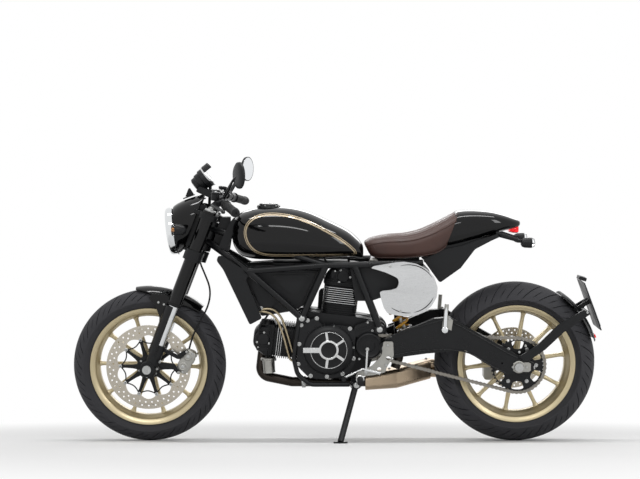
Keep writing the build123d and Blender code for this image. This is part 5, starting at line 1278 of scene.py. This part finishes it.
class BIKE_OT_handlebar(bpy.types.Operator):
    """The grips, levers, switches, mirrors and the speedometer."""

    bl_idname = "cafe_racer.handlebar"
    bl_label = "Handlebar and gauge"

    def execute(self, context):
        run = (BAR_KNEE - BAR_END).normalized()
        grips, ends, controls, levers = Draft(), Draft(), Draft(), Draft()
        profile = [(12, -1), (17.5, 0), (18, 5)]
        for i in range(15):
            profile += [(16.6, 8 + i * 7.2), (16.6, 12.4 + i * 7.2), (15.4, 13 + i * 7.2),
                (15.4, 14.6 + i * 7.2)]
        profile += [(16.6, 116.5), (20, 118.5), (20, 123), (12, 124)]
        grips.turned(BAR_END, run, profile, 32)
        ends.turned(BAR_END, -run, ((11, -3), (17, 0.5), (17.5, 4), (16, 11), (12, 13), (5, 13), (5, 9),
            (0, 9)), 32)
        clamp = BAR_END + run * 136
        controls.turned(clamp, run, ((12, -1), (17, 0), (17, 30), (12, 31)), 32)
        controls.block(clamp + run * 15 + V(-15, 0, 3), run, TOP, 26, 20, 22)
        controls.block(clamp + run * 15 + V(-30, 0, 0), run, TOP, 20, 12, 22)
        controls.block(clamp + run * 46 + V(-4, 0, 6), run, V(-0.3, 0, 1), 30, 30, 34)
        controls.block(clamp + run * 46 + V(12, 0, 10), run, V(-0.3, 0, 1), 12, 8, 6)
        controls.turned(clamp + run * 34 + V(-30, 0, 8), V(0.1, 0, 1), ((15, 0), (16, 2), (16, 24),
            (17.5, 25), (17.5, 31), (14, 33), (0, 33)), 36)
        pivot = clamp + run * 15 + V(-38, 0, 0)
        levers.loft([hoop(place, REAR, TOP, wide, deep, deep, 3, 20) for place, wide, deep in ((pivot, 9,
            5.5), (pivot - run * 14 + V(-8, 0, -1), 8, 5.5), (pivot - run * 44 + V(-8, 0, -2), 7, 5),
            (pivot - run * 96 + V(-2, 0, -2), 6.6, 4.6), (pivot - run * 134 + V(-2, 0, 0), 6.4, 4.6),
            (pivot - run * 146 + V(-4, 0, 0), 7.5, 6.5), (pivot - run * 152 + V(-4, 0, 0), 3.5, 3))])
        for draft, name, finish, stands in ((grips, "grips", "moulded_rubber", "grips"),
            (ends, "bar_ends", PLASTIC, ()), (controls, "hand_controls", CAST, "hand_controls"),
            (levers, "hand_levers", CAST, ())):
            draft.other_side().done(name, "steering", finish, stands, edge=0 if draft in (grips, ends) else 1)
        clamps = Draft()
        for side in SIDES:
            for reach in (-11, 11):
                clamps.bolt(V(-442 - reach, side * 36 + 8, 983), TOP, 4.4, 4)
                clamps.bolt(V(-442 - reach, side * 36 - 8, 983), TOP, 4.4, 4)
        clamps.done("bar_clamp_screws", "steering", STEEL)
        self.mirrors(run)
        self.gauge()
        return {"FINISHED"}

    def mirrors(self, run):
        """Round mirrors on twin stems."""
        heads, stems, glass = Draft(), Draft(), Draft()
        at = V(-344, -330, 1060)
        facing = V(cos(radians(25)), sin(radians(25)), 0)
        heads.turned(at, facing, ((47.5, 0.4), (49.6, 0.4), (50, -2), (49, -8), (42, -13), (22, -16),
            (0, -16.5)), 56)
        glass.turned(at, facing, ((47.4, -0.6), (46.6, 0.6), (0, 0.9)), 56)
        low = BAR_END + run * 190
        for gap in (-7.5, 7.5):
            stems.pipe([low + run * gap, low + run * gap + V(26, -34, 44), V(-372, -300 + gap, 1040),
                at + V(-10, gap, -4)], 4.4, 12)
        stems.turned(low - run * 17, run, ((12, 0), (15.5, 1), (15.5, 33), (12, 34)), 28)
        for draft, name, finish, stands in ((heads, "mirrors", PLASTIC, "mirrors"),
            (stems, "mirror_stems", POWDER, ()), (glass, "mirror_glasses", "mirror_glass", ())):
            draft.other_side().done(name, "steering", finish, stands)

    def gauge(self):
        """A round speedometer: cup, bezel, dial with its marks, needle and glass."""
        at = V(-484.7, 34, 1044.8)
        up = V(-GAUGE_OUT.z, 0, GAUGE_OUT.x)
        cup = Draft().turned(at, GAUGE_OUT, ((39.5, -8), (41, -12), (40.6, -28), (36, -31), (35.4, -48),
            (31, -52), (30, -66), (22, -70), (0, -70)), 56)
        visor = [(radians(-62 + 7.75 * i), 43.5) for i in range(17)] + [(radians(62 - 7.75 * i), 41.5)
            for i in range(17)]
        cup.loft([[at + GAUGE_OUT * along + (up * cos(turn) + LEFT * sin(turn)) * reach
            for turn, reach in visor] for along in (-4, 26)])
        cup.plate(rounded([(-532, 985), (-482, 962), (-430, 968), (-436, 990), (-486, 992), (-520, 1004)], 6,
            3), -30, 40)
        cup.rod(on_fork(652, 30, 34), on_fork(752, 62, 34), 6, 20)
        cup.done("gauge", "steering", PLASTIC, "gauge")
        Draft().turned(at, GAUGE_OUT, ((39, -10), (42, -10), (43, -7), (43, -2), (41.6, 0), (39, 0),
            (37.6, -2), (37.6, -8)), 72, loop=True).done("gauge_bezel", "steering", "machined_aluminium")
        Draft().turned(at, GAUGE_OUT, ((38.4, -7), (38, -6.2), (0, -6.2)), 56).done("gauge_dial", "steering",
            "dial_black")
        marks = Draft()
        for step in range(25):
            turn = radians(-130 + 260 * step / 24)
            way = up * cos(turn) + LEFT * sin(turn)
            size = 6 if step % 4 == 0 else 3.4
            marks.block(at - GAUGE_OUT * 5.9 + way * (35 - size / 2), way, way.cross(GAUGE_OUT), size, 1.1,
                0.3)
        needle = up * cos(radians(-128)) + LEFT * sin(radians(-128))
        marks.block(at - GAUGE_OUT * 4.8 + needle * 13, needle, needle.cross(GAUGE_OUT), 34, 1.4, 0.5)
        marks.turned(at, GAUGE_OUT, ((3.6, -6), (3.6, -4.2), (0, -4)), 20)
        marks.done("gauge_marks", "steering", "dial_white")
        Draft().turned(at, GAUGE_OUT, ((38.4, -3), (37, -1.6), (20, -0.6), (0, -0.3), (0, -1.6), (20, -1.9),
            (37, -3)), 56).done("gauge_glass", "steering", "clear_lens")


# Rear end and running gear

PIVOT = V(210.4, 0, 386)
DRIVE = V(140.7, 0, 394)
CHAIN_SIDE = -106
CHAIN_PITCH = 15.875
DRIVE_TEETH, REAR_TEETH = 15, 42


def chain_path(step):
    """Places along the chain, one link apart, in side view."""
    small = CHAIN_PITCH / (2 * sin(pi / DRIVE_TEETH))
    large = CHAIN_PITCH / (2 * sin(pi / REAR_TEETH))
    run = REAR_AXLE - DRIVE
    lie = atan2(run.z, run.x)
    slope = asin((large - small) / run.length)
    line = []
    for centre, radius, start, end in ((REAR_AXLE, large, lie + pi / 2 + slope, lie - pi / 2 - slope),
        (DRIVE, small, lie - pi / 2 - slope, lie - 3 * pi / 2 + slope)):
        for i in range(41):
            turn = start + (end - start) * i / 40
            line.append(centre + ray(turn) * radius)
    line.append(line[0])
    total = sum((b - a).length for a, b in zip(line, line[1:]))
    count = 2 * round(total / step / 2)
    places, travelled, want = [], 0, 0
    for a, b in zip(line, line[1:]):
        size = (b - a).length
        while want <= travelled + size and len(places) < count:
            places.append(a.lerp(b, (want - travelled) / size) if size else a.copy())
            want += total / count
        travelled += size
    return places


class BIKE_OT_drive(bpy.types.Operator):
    """The roller chain, link by link."""

    bl_idname = "cafe_racer.drive"
    bl_label = "Chain"

    def execute(self, context):
        places = chain_path(CHAIN_PITCH)
        links = Draft()
        for i, here in enumerate(places):
            there = places[(i + 1) % len(places)]
            way = (there - here).normalized()
            up = V(-way.z, 0, way.x)
            for side in SIDES:
                y = CHAIN_SIDE + side * (6.6 if i % 2 else 4.9)
                outline = []
                for end, turn in ((here, 90), (there, -90)):
                    for k in range(7):
                        angle = radians(turn + 180 * k / 6)
                        outline.append(end + way * cos(angle) * 6.8 + up * sin(angle) * 6.8)
                waist = (here + there) / 2
                outline.insert(7, waist - up * 4.6)
                outline.append(waist + up * 4.6)
                rings = [[V(p.x, y + thick, p.z) for p in outline] for thick in (-0.75, 0.75)]
                links.loft(rings)
            links.turned(V(here.x, CHAIN_SIDE - 8, here.z), RIGHT, ((2.4, 0), (2.4, 3.9), (5, 4), (5, 12),
                (2.4, 12.1), (2.4, 16)), 10)
        links.done("chain", "chassis", "oiled_chain_steel", "chain")
        return {"FINISHED"}


class BIKE_OT_swingarm(bpy.types.Operator):
    """Axle adjusters, pivot caps, the shock absorber and the arms' ribs."""

    bl_idname = "cafe_racer.swingarm"
    bl_label = "Swingarm and shock"

    def execute(self, context):
        plates, bolts, ribs = Draft(), Draft(), Draft()
        for side in SIDES:
            outline = [(696, 300), (704, 296), (756, 296), (764, 302), (764, 328), (756, 334), (704, 334),
                (696, 330)]
            plates.plate(outline, side * 152.2, side * 155.6, holes=[circle_outline(718, 315, 18, 24)])
            plates.turned(V(718, side * 152, 315), RIGHT * side, ((24, 0), (24, 5), (21, 6.5), (19, 6.5),
                (19, 4)), 32)
            bolts.rod(V(766, side * 136, 311), V(780, side * 136, 310), 4.5, 14)
            bolts.turned(V(768, side * 136, 311), REAR, ((8, 0), (8, 5), (0, 5)), 6)
            bolts.turned(V(777, side * 136, 310), REAR, ((7, 0), (7, 5), (0, 5)), 6)
            bolts.bolts(((694, 315), (748, 315)), side * 155.6, 4.6, 3.4)
            bolts.turned(V(PIVOT.x, side * 161, PIVOT.z), RIGHT * side, ((20, -8), (20, -2), (16, 0),
                (14, 1.5), (9, 1.5), (9, -2), (0, -2)), 32)
            for radius, line in ((3.2, ((226, 436), (300, 464), (388, 487), (446, 494), (560, 434),
                (664, 374), (726, 345))), (3, ((236, 362), (360, 380), (506, 376), (600, 326), (668, 290)))):
                ribs.pipe([V(x, side * 153.5, z) for x, z in line], radius, 8, 5)
        plates.done("axle_adjusters", "chassis", "cast_aluminium_bare", edge=0.8)
        bolts.done("swingarm_bolts", "chassis", STEEL)
        ribs.done("swingarm_ribs", "chassis", POWDER)
        self.shock()
        return {"FINISHED"}

    def shock(self):
        """The damper, its collars and the yellow coil spring."""
        low, top = V(304, -60, 404), V(160.8, -60, 708.8)
        run = (top - low).normalized()
        size = (top - low).length
        damper, spring, collars = Draft(), Draft(), Draft()
        damper.turned(low, run, ((0, 0), (15, 0), (19, 6), (19, 40), (12, 44), (8, 46), (8, size * 0.5),
            (20, size * 0.52), (20, size - 30), (16, size - 22), (14, size - 14)), 32)
        for end in (low, top):
            damper.turned(end + V(0, -16, 0), RIGHT, ((17, 0), (19, 2), (19, 30), (17, 32), (8, 32), (8, 0)),
                28, loop=True)
        spring.pipe(coil(low + run * 56, run, size - 120, 7 * 18, tau / 18, 26.5), 5.2, 12, 1)
        for rise in (48, size - 62):
            collars.turned(low + run * rise, run, ((20, 0), (31, 0), (32, 2), (32, 7), (29, 9), (20, 9)), 40,
                loop=True)
        damper.done("shock_absorber", "chassis", "cast_aluminium_bare", "shock_absorber")
        spring.done("shock_spring", "chassis", "spring_yellow")
        collars.done("spring_collars", "chassis", "machined_aluminium", edge=0.8)


class BIKE_OT_exhaust(bpy.types.Operator):
    """Flanges and clamps of the header pipes, and the silencer's cap."""

    bl_idname = "cafe_racer.exhaust"
    bl_label = "Exhaust"

    def execute(self, context):
        clamps, caps = Draft(), Draft()
        for place, way in ((V(-250, 30, 318), V(0.08, 0, -1)), (V(106, 30, 628), V(1, 0, 0.1))):
            clamps.turned(place, way, ((19.4, 0), (30, 0), (30, 7), (24, 9), (19.4, 9)), 36, loop=True)
            for side in SIDES:
                clamps.hexagon(place + V(0, side * 24, 0) + way * 7, way, 5, 6)
        for x in (-120, 100):
            clamps.turned(V(x, 30, 227), REAR, ((19.4, 0), (22.5, 0), (23.5, 2), (23.5, 14), (22.5, 16),
                (19.4, 16)), 36, loop=True)
            clamps.bolt(V(x + 8, 8, 221), LEFT, 4.5, 5)
        for lift in (-17.85, 17.85):
            caps.turned(V(396, 150, 262 + lift), REAR, ((15, 0), (17.8, 0), (18.6, 3), (18.6, 27),
                (17.6, 29), (15, 29), (15, 4)), 36, loop=True)
        for x, y, z in ((150, 60, 262), (230, 96, 268), (380, 150, 300)):
            clamps.bolt(V(x, y, z), TOP, 5, 4)
        clamps.done("exhaust_clamps", "chassis", STEEL)
        caps.done("silencer_tips", "chassis", "stainless_straw")
        return {"FINISHED"}


REST_PLATE = ((189.6, 364), (195.3, 416), (232.6, 416), (235.5, 360), (209.7, 318.4), (203.9, 297.6),
    (160.8, 286.4), (117, 281.6), (115.6, 259.2), (94.8, 259.2), (89, 276), (94.8, 297.6), (152.2, 321.6))


class BIKE_OT_footrests(bpy.types.Operator):
    """The rider's pegs and levers, the passenger's folded pegs and the side stand's fittings."""

    bl_idname = "cafe_racer.footrests"
    bl_label = "Footrests and stand"

    def execute(self, context):
        rubber, steel, screws, chrome, plates = Draft(), Draft(), Draft(), Draft(), Draft()
        for side in SIDES:
            out = RIGHT * side
            peg = V(106.3, side * 172, 270.4)
            profile = [(9, 0), (12.6, 2)]
            for i in range(10):
                profile += [(12.6, 6 + i * 7.4), (10.8, 7 + i * 7.4), (10.8, 8.6 + i * 7.4),
                    (12.6, 9.6 + i * 7.4)]
            profile += [(12.6, 82), (9, 84), (0, 84)]
            rubber.turned(peg, out, profile, 20)
            steel.turned(peg + out * -4, out, ((16, 0), (16, 5), (13, 7), (0, 7)), 28)
            toe = V(43.1, side * 178, 276)
            rubber.turned(toe, out, ((6.5, 0), (9, 1), (9, 36), (7, 38), (0, 38)), 20)
            plates.plate(rounded(REST_PLATE, 7, 3), side * 161.5, side * 169.3,
                holes=[circle_outline(179.5, 309, 8, 20), circle_outline(215, 352, 9, 20)])
            screws.bolts(((212, 402), (128, 292), (206, 326)), side * 169.3, 5.4, 4)
            steel.rod(V(128, side * 178, 296), V(134, side * 178, 392), 4.2, 14)
            for z in (300, 388):
                screws.hexagon(V(128 + (z - 296) / 16, side * 180, z), out, 5.5, 5)
            line = [V(431, side * 165.5, 462), V(434, side * 165.8, 510), V(438, side * 166, 560)]
            chrome.pipe(line, (8.6, 6.8), 20, 6)
            chrome.turned(V(431, side * 160, 461), out, ((12, 0), (12, 11), (9, 13), (0, 13)), 24)
            screws.bolts(((436, 476), (450, 502)), side * 161, 4.6, 4)
        rubber.done("peg_rubbers", "chassis", "moulded_rubber")
        plates.done("rider_footrests", "chassis", "cast_aluminium_bare", "rider_footrests", edge=1.4)
        steel.done("peg_mounts", "chassis", "machined_aluminium", edge=0.6)
        screws.done("footrest_screws", "chassis", STEEL)
        chrome.done("passenger_pegs", "chassis", "chrome_plated_steel")
        spring = Draft()
        low, high = V(84, -146, 216), V(96, -128, 262)
        run = (high - low).normalized()
        spring.pipe(coil(low, run, (high - low).length, 90, 0.9, 4.4), 1.1, 6, 1)
        spring.done("stand_spring", "chassis", STEEL)
        bolt = Draft()
        axis = V(-0.10, 0.985, -0.137).normalized()
        bolt.hexagon(V(90.5, -136, 242) - axis * 24, -axis, 9, 6)
        bolt.done("stand_bolt", "chassis", STEEL)
        return {"FINISHED"}


class BIKE_OT_plate(bpy.types.Operator):
    """The tyre hugger, the blank number plate, its lamp and the reflector."""

    bl_idname = "cafe_racer.plate"
    bl_label = "Rear guard and plate"

    def execute(self, context):
        guard = Draft()
        rings = []
        for step in range(13):
            turn = radians(57 - 41 * step / 12)
            ring = []
            for thick, ways in ((0, range(-8, 9)), (3, range(8, -9, -1))):
                for way in ways:
                    side = 70 * way / 8
                    reach = 326 + thick - 0.0022 * side**2
                    ring.append(REAR_AXLE + ray(turn, reach, side))
            rings.append(ring)
        guard.loft(rings)
        for side in SIDES:
            guard.block(V(968, side * 30, 532), V(1, 0, 0.6), V(-0.6, 0, 1), 96, 16, 6)
        guard.done("rear_guard", "chassis", PLASTIC, edge=0.8)
        plate = Draft()
        top, low = V(976, 0, 629), V(1043, 0, 451)
        down = (low - top).normalized()
        out = V(-down.z, 0, down.x)
        middle = (top + low) / 2 + out * 4.4
        plate.loft([[middle + out * lift + V(0, y * 86, 0) + down * z * 84
            for y, z in ((-1, -0.92), (-0.94, -1), (0.94, -1), (1, -0.92), (1, 0.92), (0.94, 1), (-0.94, 1),
            (-1, 0.92))] for lift in (0, 1.2)])
        plate.done("number_plate", "chassis", "brushed_aluminium_plate")
        Draft().block(top + V(4, 0, 14), V(1, 0, -0.3), V(0.3, 0, 1), 30, 14,
            60).block(V(1026, 0, 418) - out * 2, out, down, 6, 18, 70).done("plate_lamp", "chassis", PLASTIC,
            edge=1.5)
        # The reflector's red lens carries a faint painted glow.
        Draft().block(V(1031, 0, 418), out, down, 5, 14, 62).done("rear_reflector", "chassis", "red_lens",
            edge=1.2)
        screws = Draft()
        for y in (-60, 60):
            screws.bolt(middle + out * 1.2 - down * 60 + V(0, y, 0), out, 4.5, 2.4)
        screws.bolts(((718, 374), (742, 398), (978, 527)), -160, 5, 3.6)
        screws.done("plate_screws", "chassis", STEEL)
        return {"FINISHED"}


class BIKE_OT_cooler(bpy.types.Operator):
    """The oil cooler's fins and tanks, and the bolts that hold the engine."""

    bl_idname = "cafe_racer.cooler"
    bl_label = "Oil cooler and frame bolts"

    def execute(self, context):
        core, screws = Draft(), Draft()
        turn = radians(27.7)
        up = V(-sin(turn), 0, cos(turn))
        ahead = V(-cos(turn), 0, -sin(turn))
        centre = V(-305.9, 0, 552)
        for i in range(14):
            rise = -32.5 + i * 5
            core.block(centre + up * rise, ahead, up, 38, 1.4, 214)
        core.block(centre, ahead, up, 30, 66, 214)
        for side in SIDES:
            core.block(centre + V(0, side * 108, 0), ahead, up, 37.6, 69.6, 7)
        core.done("oil_cooler", "chassis", CAST, "oil_cooler")
        for side in SIDES:
            for x, z in ((-118, 502), (182, 459)):
                screws.hexagon(V(x, side * 142, z), RIGHT * side, 9, 6)
            screws.bolts(((-440, 726), (-300, 500), (-340, 690)), side * 117, 4.6, 3.4)
        screws.done("frame_bolts", "chassis", STEEL)
        return {"FINISHED"}


class BIKE_OT_bays(bpy.types.Operator):
    """Moulded panels: scoops, covers inside the frame's bays, head shrouds and the tail's filler."""

    bl_idname = "cafe_racer.bays"
    bl_label = "Inner panels"

    def execute(self, context):
        scoops, panels, trims = Draft(), Draft(), Draft()
        scoop = [(-446, 724), (-420, 689), (-319, 475), (-272, 500), (-333, 649), (-326, 664), (-308, 668),
            (-424, 742), (-440, 742)]
        bay = [(-360, 694), (-276, 700), (-28, 700), (-96, 556), (-150, 524), (-276, 503), (-337, 655)]
        shroud = [(-448, 756), (-424, 813), (-392, 876), (-372, 880), (-372, 850), (-396, 800), (-404, 749)]
        battery = [(66, 711), (151, 714), (256, 690), (258, 640), (240, 596), (151, 565), (89, 565)]
        filler = [(356, 758), (430, 776), (500, 790), (560, 806), (642, 812), (610, 796), (548, 762),
            (497, 704), (354, 712)]
        for side in SIDES:
            scoops.plate(rounded(scoop, 8, 3), side * 118, side * 128, bulge=3)
            scoops.plate(rounded([(-322, 660), (-296, 656), (-206, 570), (-262, 512), (-280, 530)], 8, 3),
                side * 88, side * 92)
            panels.plate(rounded(bay, 8, 3), side * 78, side * 83)
            panels.plate(rounded([(-240, 664), (-92, 664), (-128, 590), (-168, 592)], 12, 4), side * 83,
                side * 88)
            panels.plate(rounded(shroud, 8, 3), side * 58, side * 66, bulge=2)
            panels.plate(rounded(battery, 10, 3), side * 98, side * 103)
            panels.plate(rounded(filler, 8, 3), side * 74, side * 79)
            trims.pipe([V(x, side * 84, z) for x, z in ((-256, 678), (-160, 679), (-66, 678), (-58, 672),
                (-90, 604), (-112, 556))], 4.5, 10, 6)
        panels.loft([hoop(V(x, 0, 702), RIGHT, TOP, 66, 12, 12, 5, 24) for x in (-230, 60)])
        panels.loft([hoop(V(x, 0, z), RIGHT, TOP, 60, low, 20, 5, 24) for x, z, low in ((70, 690, 40),
            (150, 680, 60), (250, 690, 40))])
        panels.plate([(-470, 770), (-436, 760), (-398, 850), (-398, 884), (-436, 884)], -26, 26)
        scoops.done("scoop_panels", "chassis", PLASTIC, "side_panels", edge=2)
        panels.done("inner_panels", "chassis", PLASTIC, edge=1.2)
        trims.done("panel_rims", "chassis", POWDER)
        return {"FINISHED"}


def seen_white(tree):
    """One for the rays of the camera, of mirrors and of lenses, zero for the light on the bike."""
    path = node(tree, "ShaderNodeLightPath")
    seen = path.outputs["Is Camera Ray"]
    for name in ("Is Glossy Ray", "Is Transmission Ray"):
        seen = node(tree, "ShaderNodeMath", {"operation": "MAXIMUM"}, n0=seen,
            n1=path.outputs[name]).outputs[0]
    return seen


class BIKE_OT_stage(bpy.types.Operator):
    """The pale floor and backdrop, the studio lamps and the camera."""

    bl_idname = "cafe_racer.stage"
    bl_label = "Stage"

    def execute(self, context):
        looks, scene, link = context.scene.cafe_racer, context.scene, context.collection.objects.link
        tree, shader, place = surface("studio_paper", Roughness=0.9, Specular_IOR_Level=0.1,
            Base_Color=linear(looks.paper_colour))
        # Matt seamless paper: it takes the shadow, and fades into white away from the bike.
        bumped(tree, shader, noise(tree, place, 900, 2), 0.00005, 0.2)
        away = node(tree, "ShaderNodeVectorMath", {"operation": "LENGTH"}, n0=place)
        far = node(tree, "ShaderNodeMapRange", {"interpolation_type": "SMOOTHSTEP"}, From_Min=1.25,
            From_Max=2.7, Value=away.outputs["Value"])
        share = node(tree, "ShaderNodeMath", {"operation": "MULTIPLY"}, n0=far.outputs[0],
            n1=seen_white(tree))
        white = node(tree, "ShaderNodeEmission", Color=(1, 1, 1, 1), Strength=1)
        fade = node(tree, "ShaderNodeMixShader", n0=share.outputs[0], n1=shader.outputs[0],
            n2=white.outputs[0])
        tree.links.new(fade.outputs[0], tree.nodes["Material Output"].inputs["Surface"])
        mesh = bpy.data.meshes.new("studio_floor")
        mesh.from_pydata([(-30, -30, 0), (30, -30, 0), (30, 30, 0), (-30, 30, 0)], [], [(0, 1, 2, 3)])
        mesh.materials.append(bpy.data.materials["studio_paper"])
        floor = bpy.data.objects.new("studio_floor", mesh)
        link(floor)

        world = scene.world = bpy.data.worlds.new("studio")
        world.use_nodes = True
        tree = world.node_tree
        tree.nodes.clear()
        soft, white = (node(tree, "ShaderNodeBackground", Color=(1, 1, 1, 1), Strength=strength)
            for strength in (0.5, 1))
        mix = node(tree, "ShaderNodeMixShader", n0=seen_white(tree), n1=soft.outputs[0], n2=white.outputs[0])
        node(tree, "ShaderNodeOutputWorld", n0=mix.outputs[0])

        for name, place, aim, size, watts in (("overhead_softbox", V(0, -0.2, 3.4), V(0, 0, 0.6),
            (3.4, 0.24), 50), ("front_strip", V(-0.5, -3.7, 3), V(0, 0, 0.6), (3.2, 0.32), 44),
            ("rear_strip", V(2.6, -2.8, 2), V(0.2, 0, 0.6), (0.4, 2), 20),
            ("far_side_softbox", V(0.4, 3.6, 2.4), V(0, 0, 0.6), (3, 0.8), 28)):
            lamp = bpy.data.lights.new(name, "AREA")
            lamp.shape = "RECTANGLE"
            lamp.size, lamp.size_y = size
            lamp.energy = watts
            holder = bpy.data.objects.new(name, lamp)
            holder.location = place
            holder.rotation_euler = (aim - place).to_track_quat("-Z", "Y").to_euler()
            link(holder)

        shot = bpy.data.cameras.new("studio_camera")
        shot.lens = looks.lens_length
        shot.shift_y = looks.camera_shift
        camera = scene.camera = bpy.data.objects.new("studio_camera", shot)
        camera.location = (looks.camera_along, looks.camera_side, looks.camera_height)
        camera.rotation_euler = (radians(90 + looks.camera_pitch), 0, 0)
        link(camera)
        scene.view_settings.view_transform = "Standard"
        return {"FINISHED"}


def shade_setting(name, of, default):
    """A setting that holds an sRGB hex colour."""
    return bpy.props.StringProperty(name=name, description="sRGB hex colour of " + of, default=default)


def length_setting(name, what, default, low, high):
    """A setting that holds a length in metres."""
    return bpy.props.FloatProperty(name=name, description=what, default=default, min=low, max=high,
        subtype="DISTANCE", unit="LENGTH", precision=4)


class CafeRacerLooks(bpy.types.PropertyGroup):
    """Sizes and colours that a user would change."""

    lacquer_colour: shade_setting("Lacquer", "tank, fairing, mudguard and cowl", "#050506")
    frame_colour: shade_setting("Frame", "the powder coat", "#101113")
    engine_colour: shade_setting("Engine", "the painted castings", "#111214")
    trim_colour: shade_setting("Trim", "the moulded panels", "#141517")
    wheel_colour: shade_setting("Wheels", "the wheel paint", "#C3B592")
    seat_colour: shade_setting("Leather", "the hide", "#46302A")
    plate_colour: shade_setting("Side plates", "the brushed plates", "#D0D1D2")
    line_colour: shade_setting("Tank line", "the painted line", "#A8977A")
    spring_colour: shade_setting("Spring", "the rear spring", "#E0A32A")
    paper_colour: shade_setting("Paper", "the floor", "#E7E7E7")
    tread_depth: length_setting("Tread depth", "Depth of the grooves", 0.0042, 0, 0.008)
    stripe_width: length_setting("Line width", "Width of the outer line on the tank", 0.0052, 0.001, 0.02)
    channel_depth: length_setting("Seat channels", "Depth of the sewn channels", 0.005, 0, 0.012)
    camera_along: length_setting("Camera along", "Camera place along the bike", -0.062, -20, 20)
    camera_side: length_setting("Camera side", "Camera place to the rider's right", -6.3, -20, 20)
    camera_height: length_setting("Camera height", "Camera place above the floor", 0.3, 0, 20)
    lens_length: bpy.props.FloatProperty(name="Lens",
        description="Focal length of the camera in millimetres", default=91, min=20, max=300)
    camera_shift: bpy.props.FloatProperty(name="Shift", description="Upward shift of the camera", default=0,
        min=-0.5, max=0.5)
    camera_pitch: bpy.props.FloatProperty(name="Pitch", description="Degrees the camera looks up",
        default=4.4, min=-30, max=30)


class BIKE_PT_pieces(bpy.types.Panel):
    """The sidebar panel that lists the pieces and their sizes."""

    bl_idname = "BIKE_PT_pieces"
    bl_label = "Cafe Racer"
    bl_space_type = "VIEW_3D"
    bl_region_type = "UI"
    bl_category = "Cafe Racer"

    def draw(self, context):
        for field in CafeRacerLooks.__annotations__:
            self.layout.prop(context.scene.cafe_racer, field)
        for piece in PIECES:
            self.layout.operator(piece.bl_idname)


PIECES = (BIKE_OT_tyres, BIKE_OT_wheels, BIKE_OT_tank, BIKE_OT_seat, BIKE_OT_tail, BIKE_OT_side_covers,
    BIKE_OT_engine, BIKE_OT_fork, BIKE_OT_front_caliper, BIKE_OT_nose, BIKE_OT_handlebar, BIKE_OT_drive,
    BIKE_OT_swingarm, BIKE_OT_exhaust, BIKE_OT_footrests, BIKE_OT_plate, BIKE_OT_cooler, BIKE_OT_bays,
    BIKE_OT_stage)
CLASSES = (CafeRacerLooks, *PIECES, BIKE_PT_pieces)


def register():
    """Make the operators, the settings and the panel known."""
    for one in CLASSES:
        bpy.utils.register_class(one)
    bpy.types.Scene.cafe_racer = bpy.props.PointerProperty(type=CafeRacerLooks)


def unregister():
    """Take them away again."""
    del bpy.types.Scene.cafe_racer
    for one in reversed(CLASSES):
        bpy.utils.unregister_class(one)


def main():
    """Build every piece in order."""
    register()
    lay_out_finishes(bpy.context.scene.cafe_racer)
    dress_solids()
    for piece in PIECES:
        group, name = piece.bl_idname.split(".")
        getattr(getattr(bpy.ops, group), name)()


if __name__ == "__main__":
    main()
